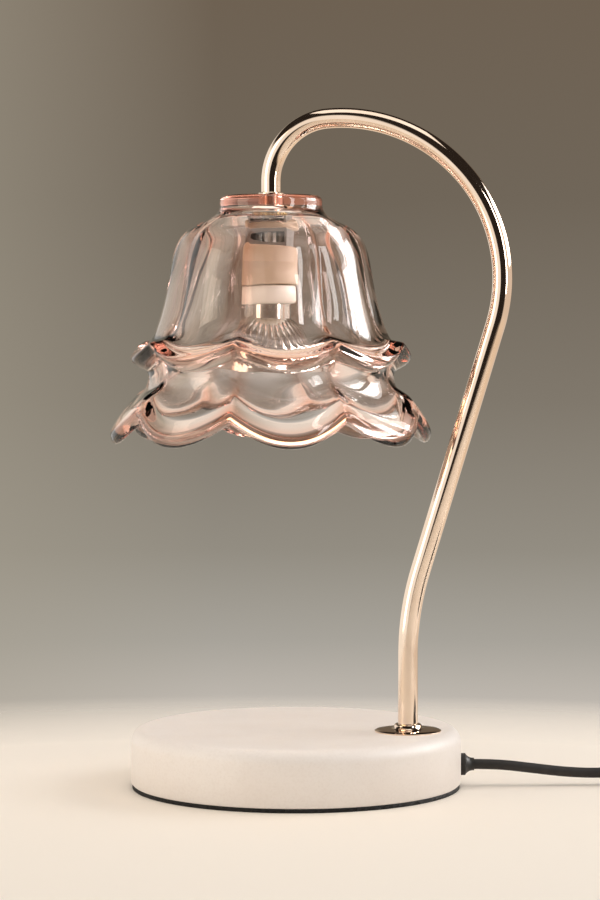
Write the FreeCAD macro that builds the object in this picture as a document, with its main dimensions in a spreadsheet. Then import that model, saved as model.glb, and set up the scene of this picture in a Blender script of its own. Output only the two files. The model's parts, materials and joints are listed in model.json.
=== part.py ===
import FreeCAD, Part
import math
import os
import Sketcher
from FreeCAD import Placement, Rotation, Vector

# Candle warmer lamp: a round stone base, one bent gold tube, and a two-tier petalled glass
# shade that hangs over the base with a reflector bulb inside it. Millimetres and degrees.
# The origin is the middle of the foot pad's underside, +X points to the post, +Z up.

os.makedirs("parts", exist_ok=True)
doc = FreeCAD.newDocument("CandleWarmerLamp")
sheet = doc.addObject("Spreadsheet::Sheet", "Dimensions")
aliases = []


def add_size(alias, value):
    aliases.append(alias)
    cell = "B%d" % len(aliases)
    sheet.set("A%d" % len(aliases), alias)
    sheet.set(cell, repr(float(value)))
    sheet.setAlias(cell, alias)


DRIVING = {
    # stone base and its pad
    "base_radius": 75, "base_thickness": 25, "base_top_fillet": 6, "base_bottom_chamfer": 0.8,
    "pad_thickness": 1.8, "pad_inset": 0.6,
    "recess_inset": 37, "recess_radius": 29, "recess_depth": 16,
    # post joint
    "fit": 0.05, "arm_radius": 4.5, "arm_wall": 1.0, "stud_bore_radius": 2.4, "stud_hole_play": 0.25,
    "escutcheon_radius": 15, "escutcheon_plate": 1.0, "escutcheon_collar_radius": 6.2,
    "escutcheon_collar_height": 2.5, "escutcheon_dish": 0.5, "escutcheon_chamfer": 0.6,
    "escutcheon_rim": 0.5, "stud_in_arm": 20, "stud_below_nut": 1.0,
    "post_washer_radius": 10, "post_washer_thickness": 1.5, "lock_washer_radius": 6.6,
    "lock_washer_thickness": 1.5, "lock_washer_gap": 1.2, "nut_radius": 7.0, "nut_height": 4.5,
    # bent arm, from the post upwards
    "lamp_height": 307.024, "post_inset": 22.8, "post_straight": 34, "foot_bend_radius": 129, "arm_lean": 17.1,
    "side_bend_radius": 70, "side_bend_angle": 56.8, "top_bend_radius": 76.392, "top_bend_angle": 54.6,
    "head_bend_radius": 27.878,
    # head stack between the arm and the lampholder
    "head_drop": 5, "top_ring_radius": 5.8, "top_ring_thickness": 1.0, "gasket_thickness": 0.6,
    "lower_gasket_radius": 13, "lower_gasket_thickness": 1.0, "clamp_washer_thickness": 1.0,
    "shade_nut_radius": 8.0, "shade_nut_height": 5.6, "knurl_count": 24, "knurl_radius": 0.6,
    "bracket_width": 18, "bracket_depth": 13, "bracket_height": 9, "bracket_sheet": 1.0,
    "nipple_in_arm": 4.8, "nipple_below_nut": 1, "ring_edge": 0.3, "bracket_nut_radius": 5.6, "bracket_nut_height": 3.0,
    "bracket_screw_spacing": 10.6, "bracket_screw_radius": 1.45, "bracket_screw_length": 6.5,
    "bracket_screw_head_radius": 2.6, "bracket_screw_head_height": 1.4, "wire_hole_radius": 2.6,
    # lampholder
    "holder_radius": 12.4, "holder_height": 17.7, "holder_edge": 0.8, "holder_cover_height": 6.0,
    "pin_spacing": 10, "pin_head_radius": 2.5, "pin_head_height": 2.0, "pin_neck_radius": 1.4,
    "pin_length": 7.0, "pin_play": 0.35, "bulb_twist": 20, "contact_thickness": 0.6,
    # reflector bulb
    "bulb_gap": 0.3, "bulb_cap_radius": 11.3, "bulb_cap_height": 9.3, "bulb_neck_radius": 9.0,
    "bulb_rim_radius": 25, "bulb_glass_height": 31, "bulb_neck_height": 7, "bulb_wall": 1.6,
    "bulb_rim_height": 2.2, "lens_thickness": 1.4,
    "burner_radius": 3.6, "burner_length": 11, "burner_lead_radius": 0.5, "burner_lead_spacing": 4,
    # glass shade, all heights measured down from its flat top
    "petal_count": 8, "shade_hole_play": 0.3, "collar_radius": 23, "collar_height": 4.6,
    "shade_top_thickness": 5, "bell_radius": 46, "bell_drop": 35.5, "lip_radius": 63.8,
    "lip_drop": 73.5, "waist_radius": 56.8, "waist_drop": 79.5, "rim_radius": 73.2, "rim_drop": 107.5,
    "shade_height": 112, "glass_wall": 4.6, "rim_band": 7.0, "bell_crease": 2.6, "lip_crease": 1.8,
    "lip_rise": 6.5, "rim_crease": 5.0, "rim_rise": 10.5,
    # flexible cord and what it passes through
    "gland_azimuth": 15, "gland_z": 9.85, "gland_sleeve_radius": 4.0, "gland_flange_radius": 5.0,
    "gland_flange": 2.0, "gland_flare": 4.0, "gland_flare_radius": 2.9, "gland_inside": 2.5,
    "cord_radius": 2.3, "cord_inner_length": 30.5, "clamp_from_post": 15.2, "clamp_length": 8,
    "clamp_floor": 1.4, "clamp_screw_radius": 1.4, "clamp_screw_spacing": 10, "clamp_screw_grip": 4,
    "clamp_screw_head_radius": 2.2, "clamp_screw_head": 1.4, "clamp_edge": 0.5,
    "wire_radius": 0.95, "wire_offset": 1.15, "splice_radius": 2.5, "splice_length": 10.5,
    "splice_inset": 1.5, "splice_y": 3.3, "splice_z": 4.6, "wire_bend_radius": 3.2, "wire_run_in": 6, "splice_mouth_run": 1.5,
    "coil_offset": 32, "coil_inner_radius": 18.5, "coil_pitch": 5.1, "coil_layer_turns": 3.5, "coil_lift": 0.9,
    "tie_thickness": 0.7, "tie_width": 9, "tie_gap": 0.15,
    "tie_play_inside": 1.0, "tie_play_outside": 0.35, "plug_run": 16, "plug_run_end": 2,
    # in-line dimmer
    "lead_reach": 87, "lead_upper_z": 8, "lead_lower_z": 5.9, "lead_low_z": 5.4,
    "dimmer_length": 70, "dimmer_width": 32, "dimmer_height": 17,
    "dimmer_split": 8.5, "dimmer_wall": 2.0, "dimmer_edge": 2.2, "dimmer_corner": 12,
    "cord_entry_z": 8.5, "knob_radius": 12, "knob_gap": 0.5, "knob_proud": 3.2,
    "knob_ribs": 30, "knob_rib_radius": 0.55, "shaft_radius": 3.0, "shaft_length": 6.5,
    "shaft_socket": 3.0, "knob_flange": 1.9, "knob_flange_reach": 1.5, "knob_flange_gap": 0.3,
    "knob_chamfer": 0.6, "pointer_width": 1.2, "pointer_start": 3, "nozzle_length": 6,
    "nozzle_tip_wall": 0.9, "nozzle_root_wall": 2.2, "screw_boss_radius": 3.2,
    "board_thickness": 1.6, "board_length": 28, "board_width": 22, "board_post": 2.4,
    "board_post_radius": 1.5, "board_post_x": 8, "board_post_y": 7, "control_side": 12,
    "control_gap": 0.1,
    "dimmer_screw_radius": 1.3, "dimmer_screw_inset": 9, "dimmer_screw_length": 9,
    "dimmer_screw_head_radius": 2.4, "dimmer_screw_head": 1.5,
    # plug
    "plug_length": 46, "plug_width": 25, "plug_height": 14, "plug_tail": 22, "plug_tail_radius": 3.6,
    "plug_tail_flare": 1.6, "plug_corner": 3.0, "blade_in_plug": 6,
    "blade_length": 17, "blade_width": 6.4, "blade_thickness": 1.5, "blade_spacing": 12.7,
}
for alias, value in DRIVING.items():
    add_size(alias, value)
doc.recompute()


def size(alias):
    return float(getattr(sheet, alias))


def derive(alias, value):
    add_size(alias, value)
    doc.recompute()
    return value


def arm_slope():
    """Length of the leaning straight run that brings the top of the arch to the lamp's height."""
    lean = math.radians(size("arm_lean"))
    over_side = math.radians(90 - size("arm_lean") + size("side_bend_angle"))
    rise = size("lamp_height") - size("arm_radius") - arm_foot_z - size("post_straight")
    rise -= size("foot_bend_radius") * math.sin(lean)
    rise -= size("side_bend_radius") * (math.sin(lean) - math.cos(over_side))
    rise -= size("top_bend_radius") * (math.cos(over_side) + 1)
    return rise / math.cos(lean)


def arm_path():
    """Points, tangents and edges of the arm's centreline, from the escutcheon up to the head."""
    edges = []
    here = Vector(post_x, 0, arm_foot_z)
    heading = 90.0

    def line(length):
        nonlocal here
        end = here + Vector(math.cos(math.radians(heading)), 0, math.sin(math.radians(heading))) * length
        edges.append(Part.LineSegment(here, end).toShape())
        here = end

    def bend(radius, turn):
        nonlocal here, heading
        side = math.copysign(90.0, turn)
        centre = here + Vector(math.cos(math.radians(heading + side)), 0,
                               math.sin(math.radians(heading + side))) * radius
        ends = []
        for share in (0.5, 1.0):
            angle = math.radians(heading + turn * share - side)
            ends.append(centre + Vector(math.cos(angle), 0, math.sin(angle)) * radius)
        edges.append(Part.Arc(here, ends[0], ends[1]).toShape())
        here = ends[1]
        heading += turn

    lean = size("arm_lean")
    line(size("post_straight"))
    bend(size("foot_bend_radius"), -lean)
    line(slope_length)
    bend(size("side_bend_radius"), size("side_bend_angle"))
    bend(size("top_bend_radius"), size("top_bend_angle"))
    bend(size("head_bend_radius"), 180 + lean - size("side_bend_angle") - size("top_bend_angle"))
    line(size("head_drop"))
    return edges, here


# heights and places that follow from the driving sizes
base_top = derive("base_top", size("pad_thickness") + size("base_thickness"))
recess_roof = derive("recess_roof", size("pad_thickness") + size("recess_depth"))
arm_foot_z = derive("arm_foot_z", base_top + size("escutcheon_plate"))
post_x = derive("post_x", size("base_radius") - size("post_inset"))
recess_x = derive("recess_x", size("base_radius") - size("recess_inset"))
splice_x = derive("splice_x", recess_x - size("recess_radius") + size("splice_inset"))
slope_length = derive("slope_length", arm_slope())
arm_bore = derive("arm_bore", size("arm_radius") - size("arm_wall"))
stud_radius = derive("stud_radius", arm_bore - size("fit"))
arm_edges, arm_end = arm_path()
head_x = derive("head_x", arm_end.x)
arm_end_z = derive("arm_end_z", arm_end.z)
glass_top = derive("glass_top", arm_end_z - size("top_ring_thickness") - size("gasket_thickness"))
glass_under = derive("glass_under", glass_top - size("shade_top_thickness"))
lower_gasket_z = derive("lower_gasket_z", glass_under - size("lower_gasket_thickness"))
clamp_washer_z = derive("clamp_washer_z", lower_gasket_z - size("clamp_washer_thickness"))
shade_nut_z = derive("shade_nut_z", clamp_washer_z - size("shade_nut_height"))
bracket_z = derive("bracket_z", shade_nut_z - size("bracket_height"))
bracket_nut_z = derive("bracket_nut_z", shade_nut_z - size("bracket_sheet") - size("bracket_nut_height"))
holder_z = derive("holder_z", bracket_z - size("holder_height"))
bulb_cap_z = derive("bulb_cap_z", holder_z - size("bulb_gap") - size("bulb_cap_height"))
bulb_rim_z = derive("bulb_rim_z", bulb_cap_z - size("bulb_glass_height"))
post_washer_z = derive("post_washer_z", recess_roof - size("post_washer_thickness"))
lock_washer_z = derive("lock_washer_z", post_washer_z - size("lock_washer_thickness"))
post_nut_z = derive("post_nut_z", lock_washer_z - size("nut_height"))
stud_bottom_z = derive("stud_bottom_z", post_nut_z - size("stud_below_nut"))
pin_top_z = derive("pin_top_z", bulb_cap_z + size("bulb_cap_height") + size("pin_length"))
parts = []


def keep(obj, label):
    """Name a finished sub-part; the label is its node and its file."""
    obj.Label = label
    parts.append(obj)
    return obj


def bind(obj, **expressions):
    for prop, text in expressions.items():
        obj.setExpression(prop.replace("__", "."), text)
    return obj


def cells(text):
    """Write a formula on sheet aliases the way the document reads it."""
    words = "".join(c if c.isalnum() or c == "_" else " " for c in text).split()
    for word in sorted(set(words), key=len, reverse=True):
        if word in aliases:
            text = swap_word(text, word)
    return text


def swap_word(text, word):
    out, i = "", 0
    while i < len(text):
        if text.startswith(word, i) and not joined(text, i - 1) and not joined(text, i + len(word)):
            out += "Dimensions." + word
            i += len(word)
        else:
            out += text[i]
            i += 1
    return out


def joined(text, i):
    return 0 <= i < len(text) and (text[i].isalnum() or text[i] in "_.")


def cylinder(radius, height, x="0", z="0", y="0"):
    obj = doc.addObject("Part::Cylinder", "Cylinder")
    return bind(obj, Radius=cells(radius), Height=cells(height), Placement__Base__x=cells(x),
                Placement__Base__y=cells(y), Placement__Base__z=cells(z))


def block(length, width, height, x, y, z):
    obj = doc.addObject("Part::Box", "Box")
    return bind(obj, Length=cells(length), Width=cells(width), Height=cells(height),
                Placement__Base__x=cells(x), Placement__Base__y=cells(y), Placement__Base__z=cells(z))


def prism(sides, radius, height, x, z):
    obj = doc.addObject("Part::Prism", "Prism")
    obj.Polygon = sides
    return bind(obj, Circumradius=cells(radius), Height=cells(height), Placement__Base__x=cells(x),
                Placement__Base__z=cells(z))


def cut(base, *tools):
    for tool in tools:
        obj = doc.addObject("Part::Cut", "Cut")
        obj.Base = base
        obj.Tool = tool
        base = obj
    return base


def fuse(*shapes):
    obj = doc.addObject("Part::MultiFuse", "Fuse")
    obj.Shapes = list(shapes)
    obj.Refine = True
    return obj


def ring(label, outer, inner, height, x, z):
    return keep(cut(cylinder(outer, height, x, z), cylinder(inner, height, x, z)), label)


def feature(label, shape, placement=None):
    obj = doc.addObject("Part::Feature", "Feature")
    obj.Shape = shape
    if placement is not None:
        obj.Placement = placement
    return keep(obj, label)


def new_body(label):
    body = doc.addObject("PartDesign::Body", "Body")
    keep(body, label)
    return body


def sketch_on(body, role, height=None):
    """A sketch on one of the body's own origin planes, lifted by a formula."""
    sketch = body.newObject("Sketcher::SketchObject", "Sketch")
    plane = [f for f in body.Origin.OriginFeatures if f.Role == role][0]
    sketch.AttachmentSupport = [(plane, "")]
    sketch.MapMode = "FlatFace"
    if height is not None:
        bind(sketch, AttachmentOffset__Base__z=cells(height))
    return sketch


def outline(sketch, corners):
    """A closed outline of straight lines whose corners are bound to the sheet."""
    count = len(corners)
    for i in range(count):
        angle = 2 * math.pi * i / count
        following = 2 * math.pi * (i + 1) / count
        start = Vector(60 + 40 * math.cos(angle), 60 + 40 * math.sin(angle), 0)
        end = Vector(60 + 40 * math.cos(following), 60 + 40 * math.sin(following), 0)
        sketch.addGeometry(Part.LineSegment(start, end), False)
    for i in range(count):
        sketch.addConstraint(Sketcher.Constraint("Coincident", i, 2, (i + 1) % count, 1))
    for i, (across, up) in enumerate(corners):
        for kind, axis, text in (("DistanceX", -2, across), ("DistanceY", -1, up)):
            if text == "0":
                sketch.addConstraint(Sketcher.Constraint("PointOnObject", i, 1, axis))
            else:
                index = sketch.addConstraint(Sketcher.Constraint(kind, i, 1, 50.0))
                sketch.setExpression("Constraints[%d]" % index, cells(text))


def round_hole(sketch, radius, x="0", y="0"):
    """A circle bound to the sheet, for a pad or a pocket."""
    index = sketch.GeometryCount
    sketch.addGeometry(Part.Circle(Vector(5, 5, 0), Vector(0, 0, 1), 3), False)
    constraint = sketch.addConstraint(Sketcher.Constraint("Radius", index, 3.0))
    sketch.setExpression("Constraints[%d]" % constraint, cells(radius))
    for kind, axis, text in (("DistanceX", -2, x), ("DistanceY", -1, y)):
        if text == "0":
            sketch.addConstraint(Sketcher.Constraint("PointOnObject", index, 3, axis))
        else:
            constraint = sketch.addConstraint(Sketcher.Constraint(kind, index, 3, 5.0))
            sketch.setExpression("Constraints[%d]" % constraint, cells(text))


def turned(label, corners, x="0", z="0"):
    """A piece turned about its own upright axis; corners are radius and height."""
    body = new_body(label)
    sketch = sketch_on(body, "XZ_Plane")
    outline(sketch, corners)
    turn = body.newObject("PartDesign::Revolution", "Revolution")
    turn.Profile = sketch
    turn.ReferenceAxis = (sketch, ["V_Axis"])
    turn.Angle = 360.0
    sketch.Visibility = False
    bind(body, Placement__Base__x=cells(x), Placement__Base__z=cells(z))
    return body


def pad(body, sketch, length):
    step = body.newObject("PartDesign::Pad", "Pad")
    step.Profile = sketch
    return bind(step, Length=cells(length))


def pocket_up(body, sketch, depth):
    """A pocket that runs up from a sketch on the underside."""
    step = body.newObject("PartDesign::Pocket", "Pocket")
    step.Profile = sketch
    step.Reversed = True
    return bind(step, Length=cells(depth))


def edges_where(shape, test):
    return ["Edge%d" % (i + 1) for i, edge in enumerate(shape.Edges) if test(edge)]


def circle_edges(shape, radius, height):
    """Names of the full circles of one radius at one height."""
    def is_it(edge):
        curve = edge.Curve
        return (isinstance(curve, Part.Circle) and abs(curve.Radius - radius) < 0.01
                and abs(curve.Center.z - height) < 0.01)
    return edges_where(shape, is_it)


# stone base: a pad with a rounded rim, hollowed from below for the post nut and the wiring
def stone_base():
    body = new_body("base_stone")
    disc = sketch_on(body, "XY_Plane", "pad_thickness")
    round_hole(disc, "base_radius")
    step = pad(body, disc, "base_thickness")
    doc.recompute()
    rim = body.newObject("PartDesign::Fillet", "RimFillet")
    rim.Base = (step, circle_edges(step.Shape, size("base_radius"), base_top))
    bind(rim, Radius=cells("base_top_fillet"))
    doc.recompute()
    foot = body.newObject("PartDesign::Chamfer", "FootChamfer")
    foot.Base = (rim, circle_edges(rim.Shape, size("base_radius"), size("pad_thickness")))
    bind(foot, Size=cells("base_bottom_chamfer"))
    recess = sketch_on(body, "XY_Plane", "pad_thickness")
    round_hole(recess, "recess_radius", "recess_x")
    pocket_up(body, recess, "recess_depth")
    bore = sketch_on(body, "XY_Plane", "pad_thickness")
    round_hole(bore, "stud_radius + stud_hole_play", "post_x")
    through = pocket_up(body, bore, "base_thickness")
    through.Type = "ThroughAll"
    doc.recompute()
    gland_bore = cylinder("gland_sleeve_radius + fit", "base_radius - recess_x + gland_flange",
                          "recess_x * cos(gland_azimuth)", "gland_z", "recess_x * sin(gland_azimuth)")
    bind(gland_bore, Placement__Rotation__Axis__x=cells("-sin(gland_azimuth)"),
         Placement__Rotation__Axis__y=cells("cos(gland_azimuth)"), Placement__Rotation__Axis__z="0",
         Placement__Rotation__Angle="90")
    parts.remove(body)
    return keep(cut(body, gland_bore), "base_bored")


def radial(distance, height, side=0.0):
    """The placement whose local +Z points outwards at the gland's azimuth."""
    azimuth = math.radians(size("gland_azimuth"))
    out = Vector(math.cos(azimuth), math.sin(azimuth), 0)
    across = Vector(-math.sin(azimuth), math.cos(azimuth), 0)
    return Placement(out * distance + across * side + Vector(0, 0, height), Rotation(Vector(0, 0, 1), out))


def along(distance, side, height):
    """A point of the cord's own frame: out along its azimuth, across it, and up."""
    azimuth = math.radians(size("gland_azimuth"))
    out = Vector(math.cos(azimuth), math.sin(azimuth), 0)
    across = Vector(-math.sin(azimuth), math.cos(azimuth), 0)
    return out * distance + across * side + Vector(0, 0, height)


def tube_along(edges, radius):
    """A round solid along tangent lines and arcs."""
    wire = Part.Wire(edges)
    first = wire.OrderedEdges[0]
    start = first.valueAt(first.FirstParameter)
    heading = first.tangentAt(first.FirstParameter)
    if first.Orientation == "Reversed":
        start = first.valueAt(first.LastParameter)
        heading = first.tangentAt(first.LastParameter) * -1
    profile = Part.Wire([Part.Circle(start, heading, radius).toShape()])
    return wire.makePipeShell([profile], True, False)


def rounded_route(points, share=0.45, fixed_radius=None):
    """Straight runs joined by tangent arcs, and the arcs' radii."""
    edges, radii = [], []
    here = points[0]
    for before, corner, after in zip(points, points[1:], points[2:]):
        back, ahead = before - corner, after - corner
        turn = math.pi - back.getAngle(ahead)
        reach = share * min(back.Length, ahead.Length)
        if fixed_radius is not None:
            reach = fixed_radius * math.tan(turn / 2)
        radii.append(reach / math.tan(turn / 2))
        entry = corner + back.normalize() * reach
        leave = corner + ahead.normalize() * reach
        inward = ((entry + leave) * 0.5 - corner).normalize()
        middle = corner + inward * (radii[-1] / math.cos(turn / 2) - radii[-1])
        edges.append(Part.LineSegment(here, entry).toShape())
        edges.append(Part.Arc(entry, middle, leave).toShape())
        here = leave
    edges.append(Part.LineSegment(here, points[-1]).toShape())
    return edges, radii


# post: escutcheon, hollow stud, washers and nut under the stone
stone_base()
keep(cylinder("base_radius - pad_inset", "pad_thickness"), "foot_pad")
turned("escutcheon", [
    ("arm_radius + fit", "escutcheon_plate"), ("arm_radius + fit", "escutcheon_collar_height + escutcheon_plate"),
    ("escutcheon_collar_radius - escutcheon_chamfer", "escutcheon_collar_height + escutcheon_plate"),
    ("escutcheon_collar_radius", "escutcheon_collar_height + escutcheon_plate - escutcheon_chamfer"),
    ("escutcheon_collar_radius", "escutcheon_plate + escutcheon_dish"),
    ("escutcheon_radius - 2 * escutcheon_rim", "escutcheon_plate"), ("escutcheon_radius", "escutcheon_rim"),
    ("escutcheon_radius", "0"), ("stud_radius + fit", "0"), ("stud_radius + fit", "escutcheon_plate"),
], "post_x", "base_top")
arm_outer = tube_along(arm_edges, size("arm_radius"))
arm_inner = tube_along(arm_edges, arm_bore)
feature("arm_tube", arm_outer.cut(arm_inner))
ring("lower_stud", "stud_radius", "stud_bore_radius",
     "stud_in_arm + escutcheon_plate + base_top - stud_bottom_z", "post_x", "stud_bottom_z")
ring("post_washer", "post_washer_radius", "stud_radius + fit", "post_washer_thickness",
     "post_x", "post_washer_z")
lock_ring = cut(cylinder("lock_washer_radius", "lock_washer_thickness", "post_x", "lock_washer_z"),
                cylinder("stud_radius + fit", "lock_washer_thickness", "post_x", "lock_washer_z"),
                block("lock_washer_radius", "lock_washer_gap", "lock_washer_thickness", "post_x",
                      "-lock_washer_gap / 2", "lock_washer_z"))
keep(lock_ring, "lock_washer")
keep(cut(prism(6, "nut_radius", "nut_height", "post_x", "post_nut_z"),
         cylinder("stud_radius", "nut_height", "post_x", "post_nut_z")), "post_nut")


# head stack: nipple, ring, gaskets, knurled nut and the strap bracket
ring("head_nipple", "stud_radius", "stud_bore_radius",
     "arm_end_z + nipple_in_arm - bracket_nut_z + nipple_below_nut", "head_x", "bracket_nut_z - nipple_below_nut")
turned("top_ring", [
    ("stud_radius + fit", "0"), ("top_ring_radius", "0"), ("top_ring_radius", "top_ring_thickness - ring_edge"),
    ("top_ring_radius - ring_edge", "top_ring_thickness"), ("stud_radius + fit", "top_ring_thickness"),
], "head_x", "arm_end_z - top_ring_thickness")
ring("upper_gasket", "top_ring_radius - ring_edge", "stud_radius + fit", "gasket_thickness", "head_x", "glass_top")
ring("lower_gasket", "lower_gasket_radius", "stud_radius + fit", "lower_gasket_thickness",
     "head_x", "lower_gasket_z")
ring("clamp_washer", "lower_gasket_radius", "stud_radius + fit", "clamp_washer_thickness",
     "head_x", "clamp_washer_z")


def knurled(label, outer, bore, height, x, z, count, rib):
    """A round nut whose edge is cut with a ring of small upright grooves."""
    blank = Part.makeCylinder(outer, height)
    grooves = []
    for i in range(int(count)):
        angle = 2 * math.pi * i / count
        centre = Vector(outer * math.cos(angle), outer * math.sin(angle), 0)
        grooves.append(Part.makeCylinder(rib, height, centre))
    shape = blank.cut(Part.makeCompound(grooves)).cut(Part.makeCylinder(bore, height))
    return feature(label, shape, Placement(Vector(x, 0, z), Rotation()))


knurled("shade_nut", size("shade_nut_radius"), stud_radius, size("shade_nut_height"), head_x,
        shade_nut_z, size("knurl_count"), size("knurl_radius"))


def strap_bracket():
    """A flat strip folded into a closed frame, open to the front and back."""
    outer = block("bracket_width", "bracket_depth", "bracket_height", "head_x - bracket_width / 2",
                  "-bracket_depth / 2", "bracket_z")
    window = block("bracket_width - 2 * bracket_sheet", "bracket_depth",
                   "bracket_height - 2 * bracket_sheet", "head_x - bracket_width / 2 + bracket_sheet",
                   "-bracket_depth / 2", "bracket_z + bracket_sheet")
    top_hole = cylinder("stud_radius + fit", "bracket_sheet", "head_x", "shade_nut_z - bracket_sheet")
    wire_hole = cylinder("wire_hole_radius", "bracket_sheet", "head_x", "bracket_z")
    frame = cut(outer, window, top_hole, wire_hole)
    for side in ("-", "+"):
        hole = cylinder("bracket_screw_radius + fit", "bracket_sheet",
                        "head_x " + side + " bracket_screw_spacing / 2", "bracket_z")
        frame = cut(frame, hole)
    return keep(frame, "holder_bracket")


strap_bracket()
keep(cut(prism(6, "bracket_nut_radius", "bracket_nut_height", "head_x", "bracket_nut_z"),
         cylinder("stud_radius", "bracket_nut_height", "head_x", "bracket_nut_z")), "bracket_nut")


def pan_screw(radius, length, head_radius, head_height, x, z):
    """A pan-head screw seated at z with its shank downwards."""
    return fuse(cylinder(radius, length, x, z + " - " + length), cylinder(head_radius, head_height, x, z))


def group(label, *objects):
    """Several identical solids that share one node."""
    obj = doc.addObject("Part::Compound", "Group")
    obj.Links = list(objects)
    return keep(obj, label)


group("bracket_screws", *[
    pan_screw("bracket_screw_radius", "bracket_screw_length", "bracket_screw_head_radius",
              "bracket_screw_head_height", "head_x " + side + " bracket_screw_spacing / 2",
              "bracket_z + bracket_sheet") for side in ("-", "+")])


# lampholder: a ceramic body and cover with two curved pin slots, and a contact behind each slot
def pin_slots(bottom, top, radius):
    """The two arc slots that a twist of the bulb sweeps with its pins."""
    slots = []
    reach = size("pin_spacing") / 2
    for half in (0, 180):
        sector = []
        for degrees in (0, size("bulb_twist")):
            angle = math.radians(half + degrees)
            centre = Vector(head_x + reach * math.cos(angle), reach * math.sin(angle), bottom)
            sector.append(Part.makeCylinder(radius, top - bottom, centre))
        band = Part.makeCylinder(reach + radius, top - bottom, Vector(head_x, 0, bottom), Vector(0, 0, 1),
                                 size("bulb_twist"))
        band = band.cut(Part.makeCylinder(reach - radius, top - bottom, Vector(head_x, 0, bottom)))
        band.rotate(Vector(head_x, 0, 0), Vector(0, 0, 1), half)
        slots.append(sector[0].fuse([sector[1], band]).removeSplitter())
    return slots[0].fuse(slots[1])


holder_split_z = derive("holder_split_z", bracket_z - size("holder_cover_height"))
slot_top = pin_top_z + size("pin_play")


def holder_body():
    bottom = holder_z
    blank = Part.makeCylinder(size("holder_radius"), holder_split_z - bottom, Vector(head_x, 0, bottom))
    rim = [e for e in blank.Edges if isinstance(e.Curve, Part.Circle) and abs(e.Curve.Center.z - bottom) < 0.01]
    blank = blank.makeFillet(size("holder_edge"), rim)
    roof = slot_top + size("contact_thickness")
    shape = blank.cut(pin_slots(bottom, roof, size("pin_head_radius") + size("pin_play")))
    return feature("holder_body", shape)


def holder_contacts():
    """Brass plates on the roof of the slots, which the pin heads press against."""
    return feature("holder_contacts", pin_slots(slot_top, slot_top + size("contact_thickness"),
                                                size("pin_head_radius")))


def holder_cover():
    bottom, top = holder_split_z, bracket_z
    blank = Part.makeCylinder(size("holder_radius"), top - bottom, Vector(head_x, 0, bottom))
    rim = [e for e in blank.Edges if isinstance(e.Curve, Part.Circle) and abs(e.Curve.Center.z - top) < 0.01]
    blank = blank.makeFillet(size("holder_edge"), rim)
    depth = size("bracket_screw_length") - size("bracket_sheet")
    for side in (-1, 1):
        x = head_x + side * size("bracket_screw_spacing") / 2
        blank = blank.cut(Part.makeCylinder(size("bracket_screw_radius"), depth, Vector(x, 0, top - depth)))
        wire = Vector(head_x, side * size("wire_offset"), bottom)
        blank = blank.cut(Part.makeCylinder(size("wire_radius") + size("fit"), top - bottom, wire))
    return feature("holder_cover", blank)


holder_body()
holder_cover()
holder_contacts()


# reflector bulb, turned on the head's axis; it twists out with its two headed pins
def bulb_cap():
    body = turned("bulb_cap", [
        ("0", "bulb_cap_height"), ("0", "0"), ("bulb_cap_radius - 1.2", "0"),
        ("bulb_cap_radius", "1.2"), ("bulb_cap_radius", "bulb_cap_height - 0.8"),
        ("bulb_cap_radius - 0.8", "bulb_cap_height"),
    ], "head_x", "bulb_cap_z")
    return body


def bulb_pins():
    pins = []
    for side in ("-", "+"):
        x = "head_x " + side + " pin_spacing / 2"
        foot = "bulb_cap_z + bulb_cap_height"
        neck = cylinder("pin_neck_radius", "pin_length - pin_head_height", x, foot)
        head = cylinder("pin_head_radius", "pin_head_height", x,
                        foot + " + pin_length - pin_head_height")
        pins.append(fuse(neck, head))
    return group("bulb_pins", *pins)


def bulb_curve(neck, rim, neck_height, bottom, top):
    """The half outline of the reflector: a short neck, then a bowl as one arc."""
    shoulder = Vector(neck, 0, top - neck_height)
    edge = Vector(rim, 0, bottom)
    middle = Vector(neck + 0.72 * (rim - neck), 0, bottom + 0.47 * (shoulder.z - bottom))
    return [Part.LineSegment(Vector(neck, 0, top), shoulder).toShape(),
            Part.Arc(shoulder, middle, edge).toShape()]


def bulb_reflector():
    """The pressed bowl with a fluted outside, a rim for the lens and a hollow inside."""
    height, wall = size("bulb_glass_height"), size("bulb_wall")
    rim, neck, band = size("bulb_rim_radius"), size("bulb_neck_radius"), size("bulb_rim_height")
    edges = bulb_curve(neck, rim - 1.2, size("bulb_neck_height"), band, height)
    corners = [Vector(rim - 1.2, 0, band), Vector(rim, 0, band), Vector(rim, 0, 0), Vector(0, 0, 0),
               Vector(0, 0, height), Vector(neck, 0, height)]
    edges += [Part.LineSegment(a, b).toShape() for a, b in zip(corners, corners[1:])]
    bowl = Part.Face(Part.Wire(Part.__sortEdges__(edges))).revolve(Vector(0, 0, 0), Vector(0, 0, 1), 360)
    seat = size("lens_thickness")
    inner = bulb_curve(neck - 2 * wall, rim - 1.2 - wall, size("bulb_neck_height"), seat, height - wall)
    corners = [Vector(rim - 1.2 - wall, 0, seat), Vector(0, 0, seat), Vector(0, 0, height - wall),
               Vector(neck - 2 * wall, 0, height - wall)]
    inner += [Part.LineSegment(a, b).toShape() for a, b in zip(corners, corners[1:])]
    hollow = Part.Face(Part.Wire(Part.__sortEdges__(inner))).revolve(Vector(0, 0, 0), Vector(0, 0, 1), 360)
    lens_seat = Part.makeCylinder(rim - 1.0, seat)
    shape = bowl.cut(hollow.fuse(lens_seat))
    return feature("bulb_reflector", shape, Placement(Vector(head_x, 0, bulb_rim_z), Rotation()))


def bulb_lens():
    edge = "bulb_rim_radius - 1 - fit"
    return keep(cylinder(edge, "lens_thickness", "head_x", "bulb_rim_z"), "bulb_lens")


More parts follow.
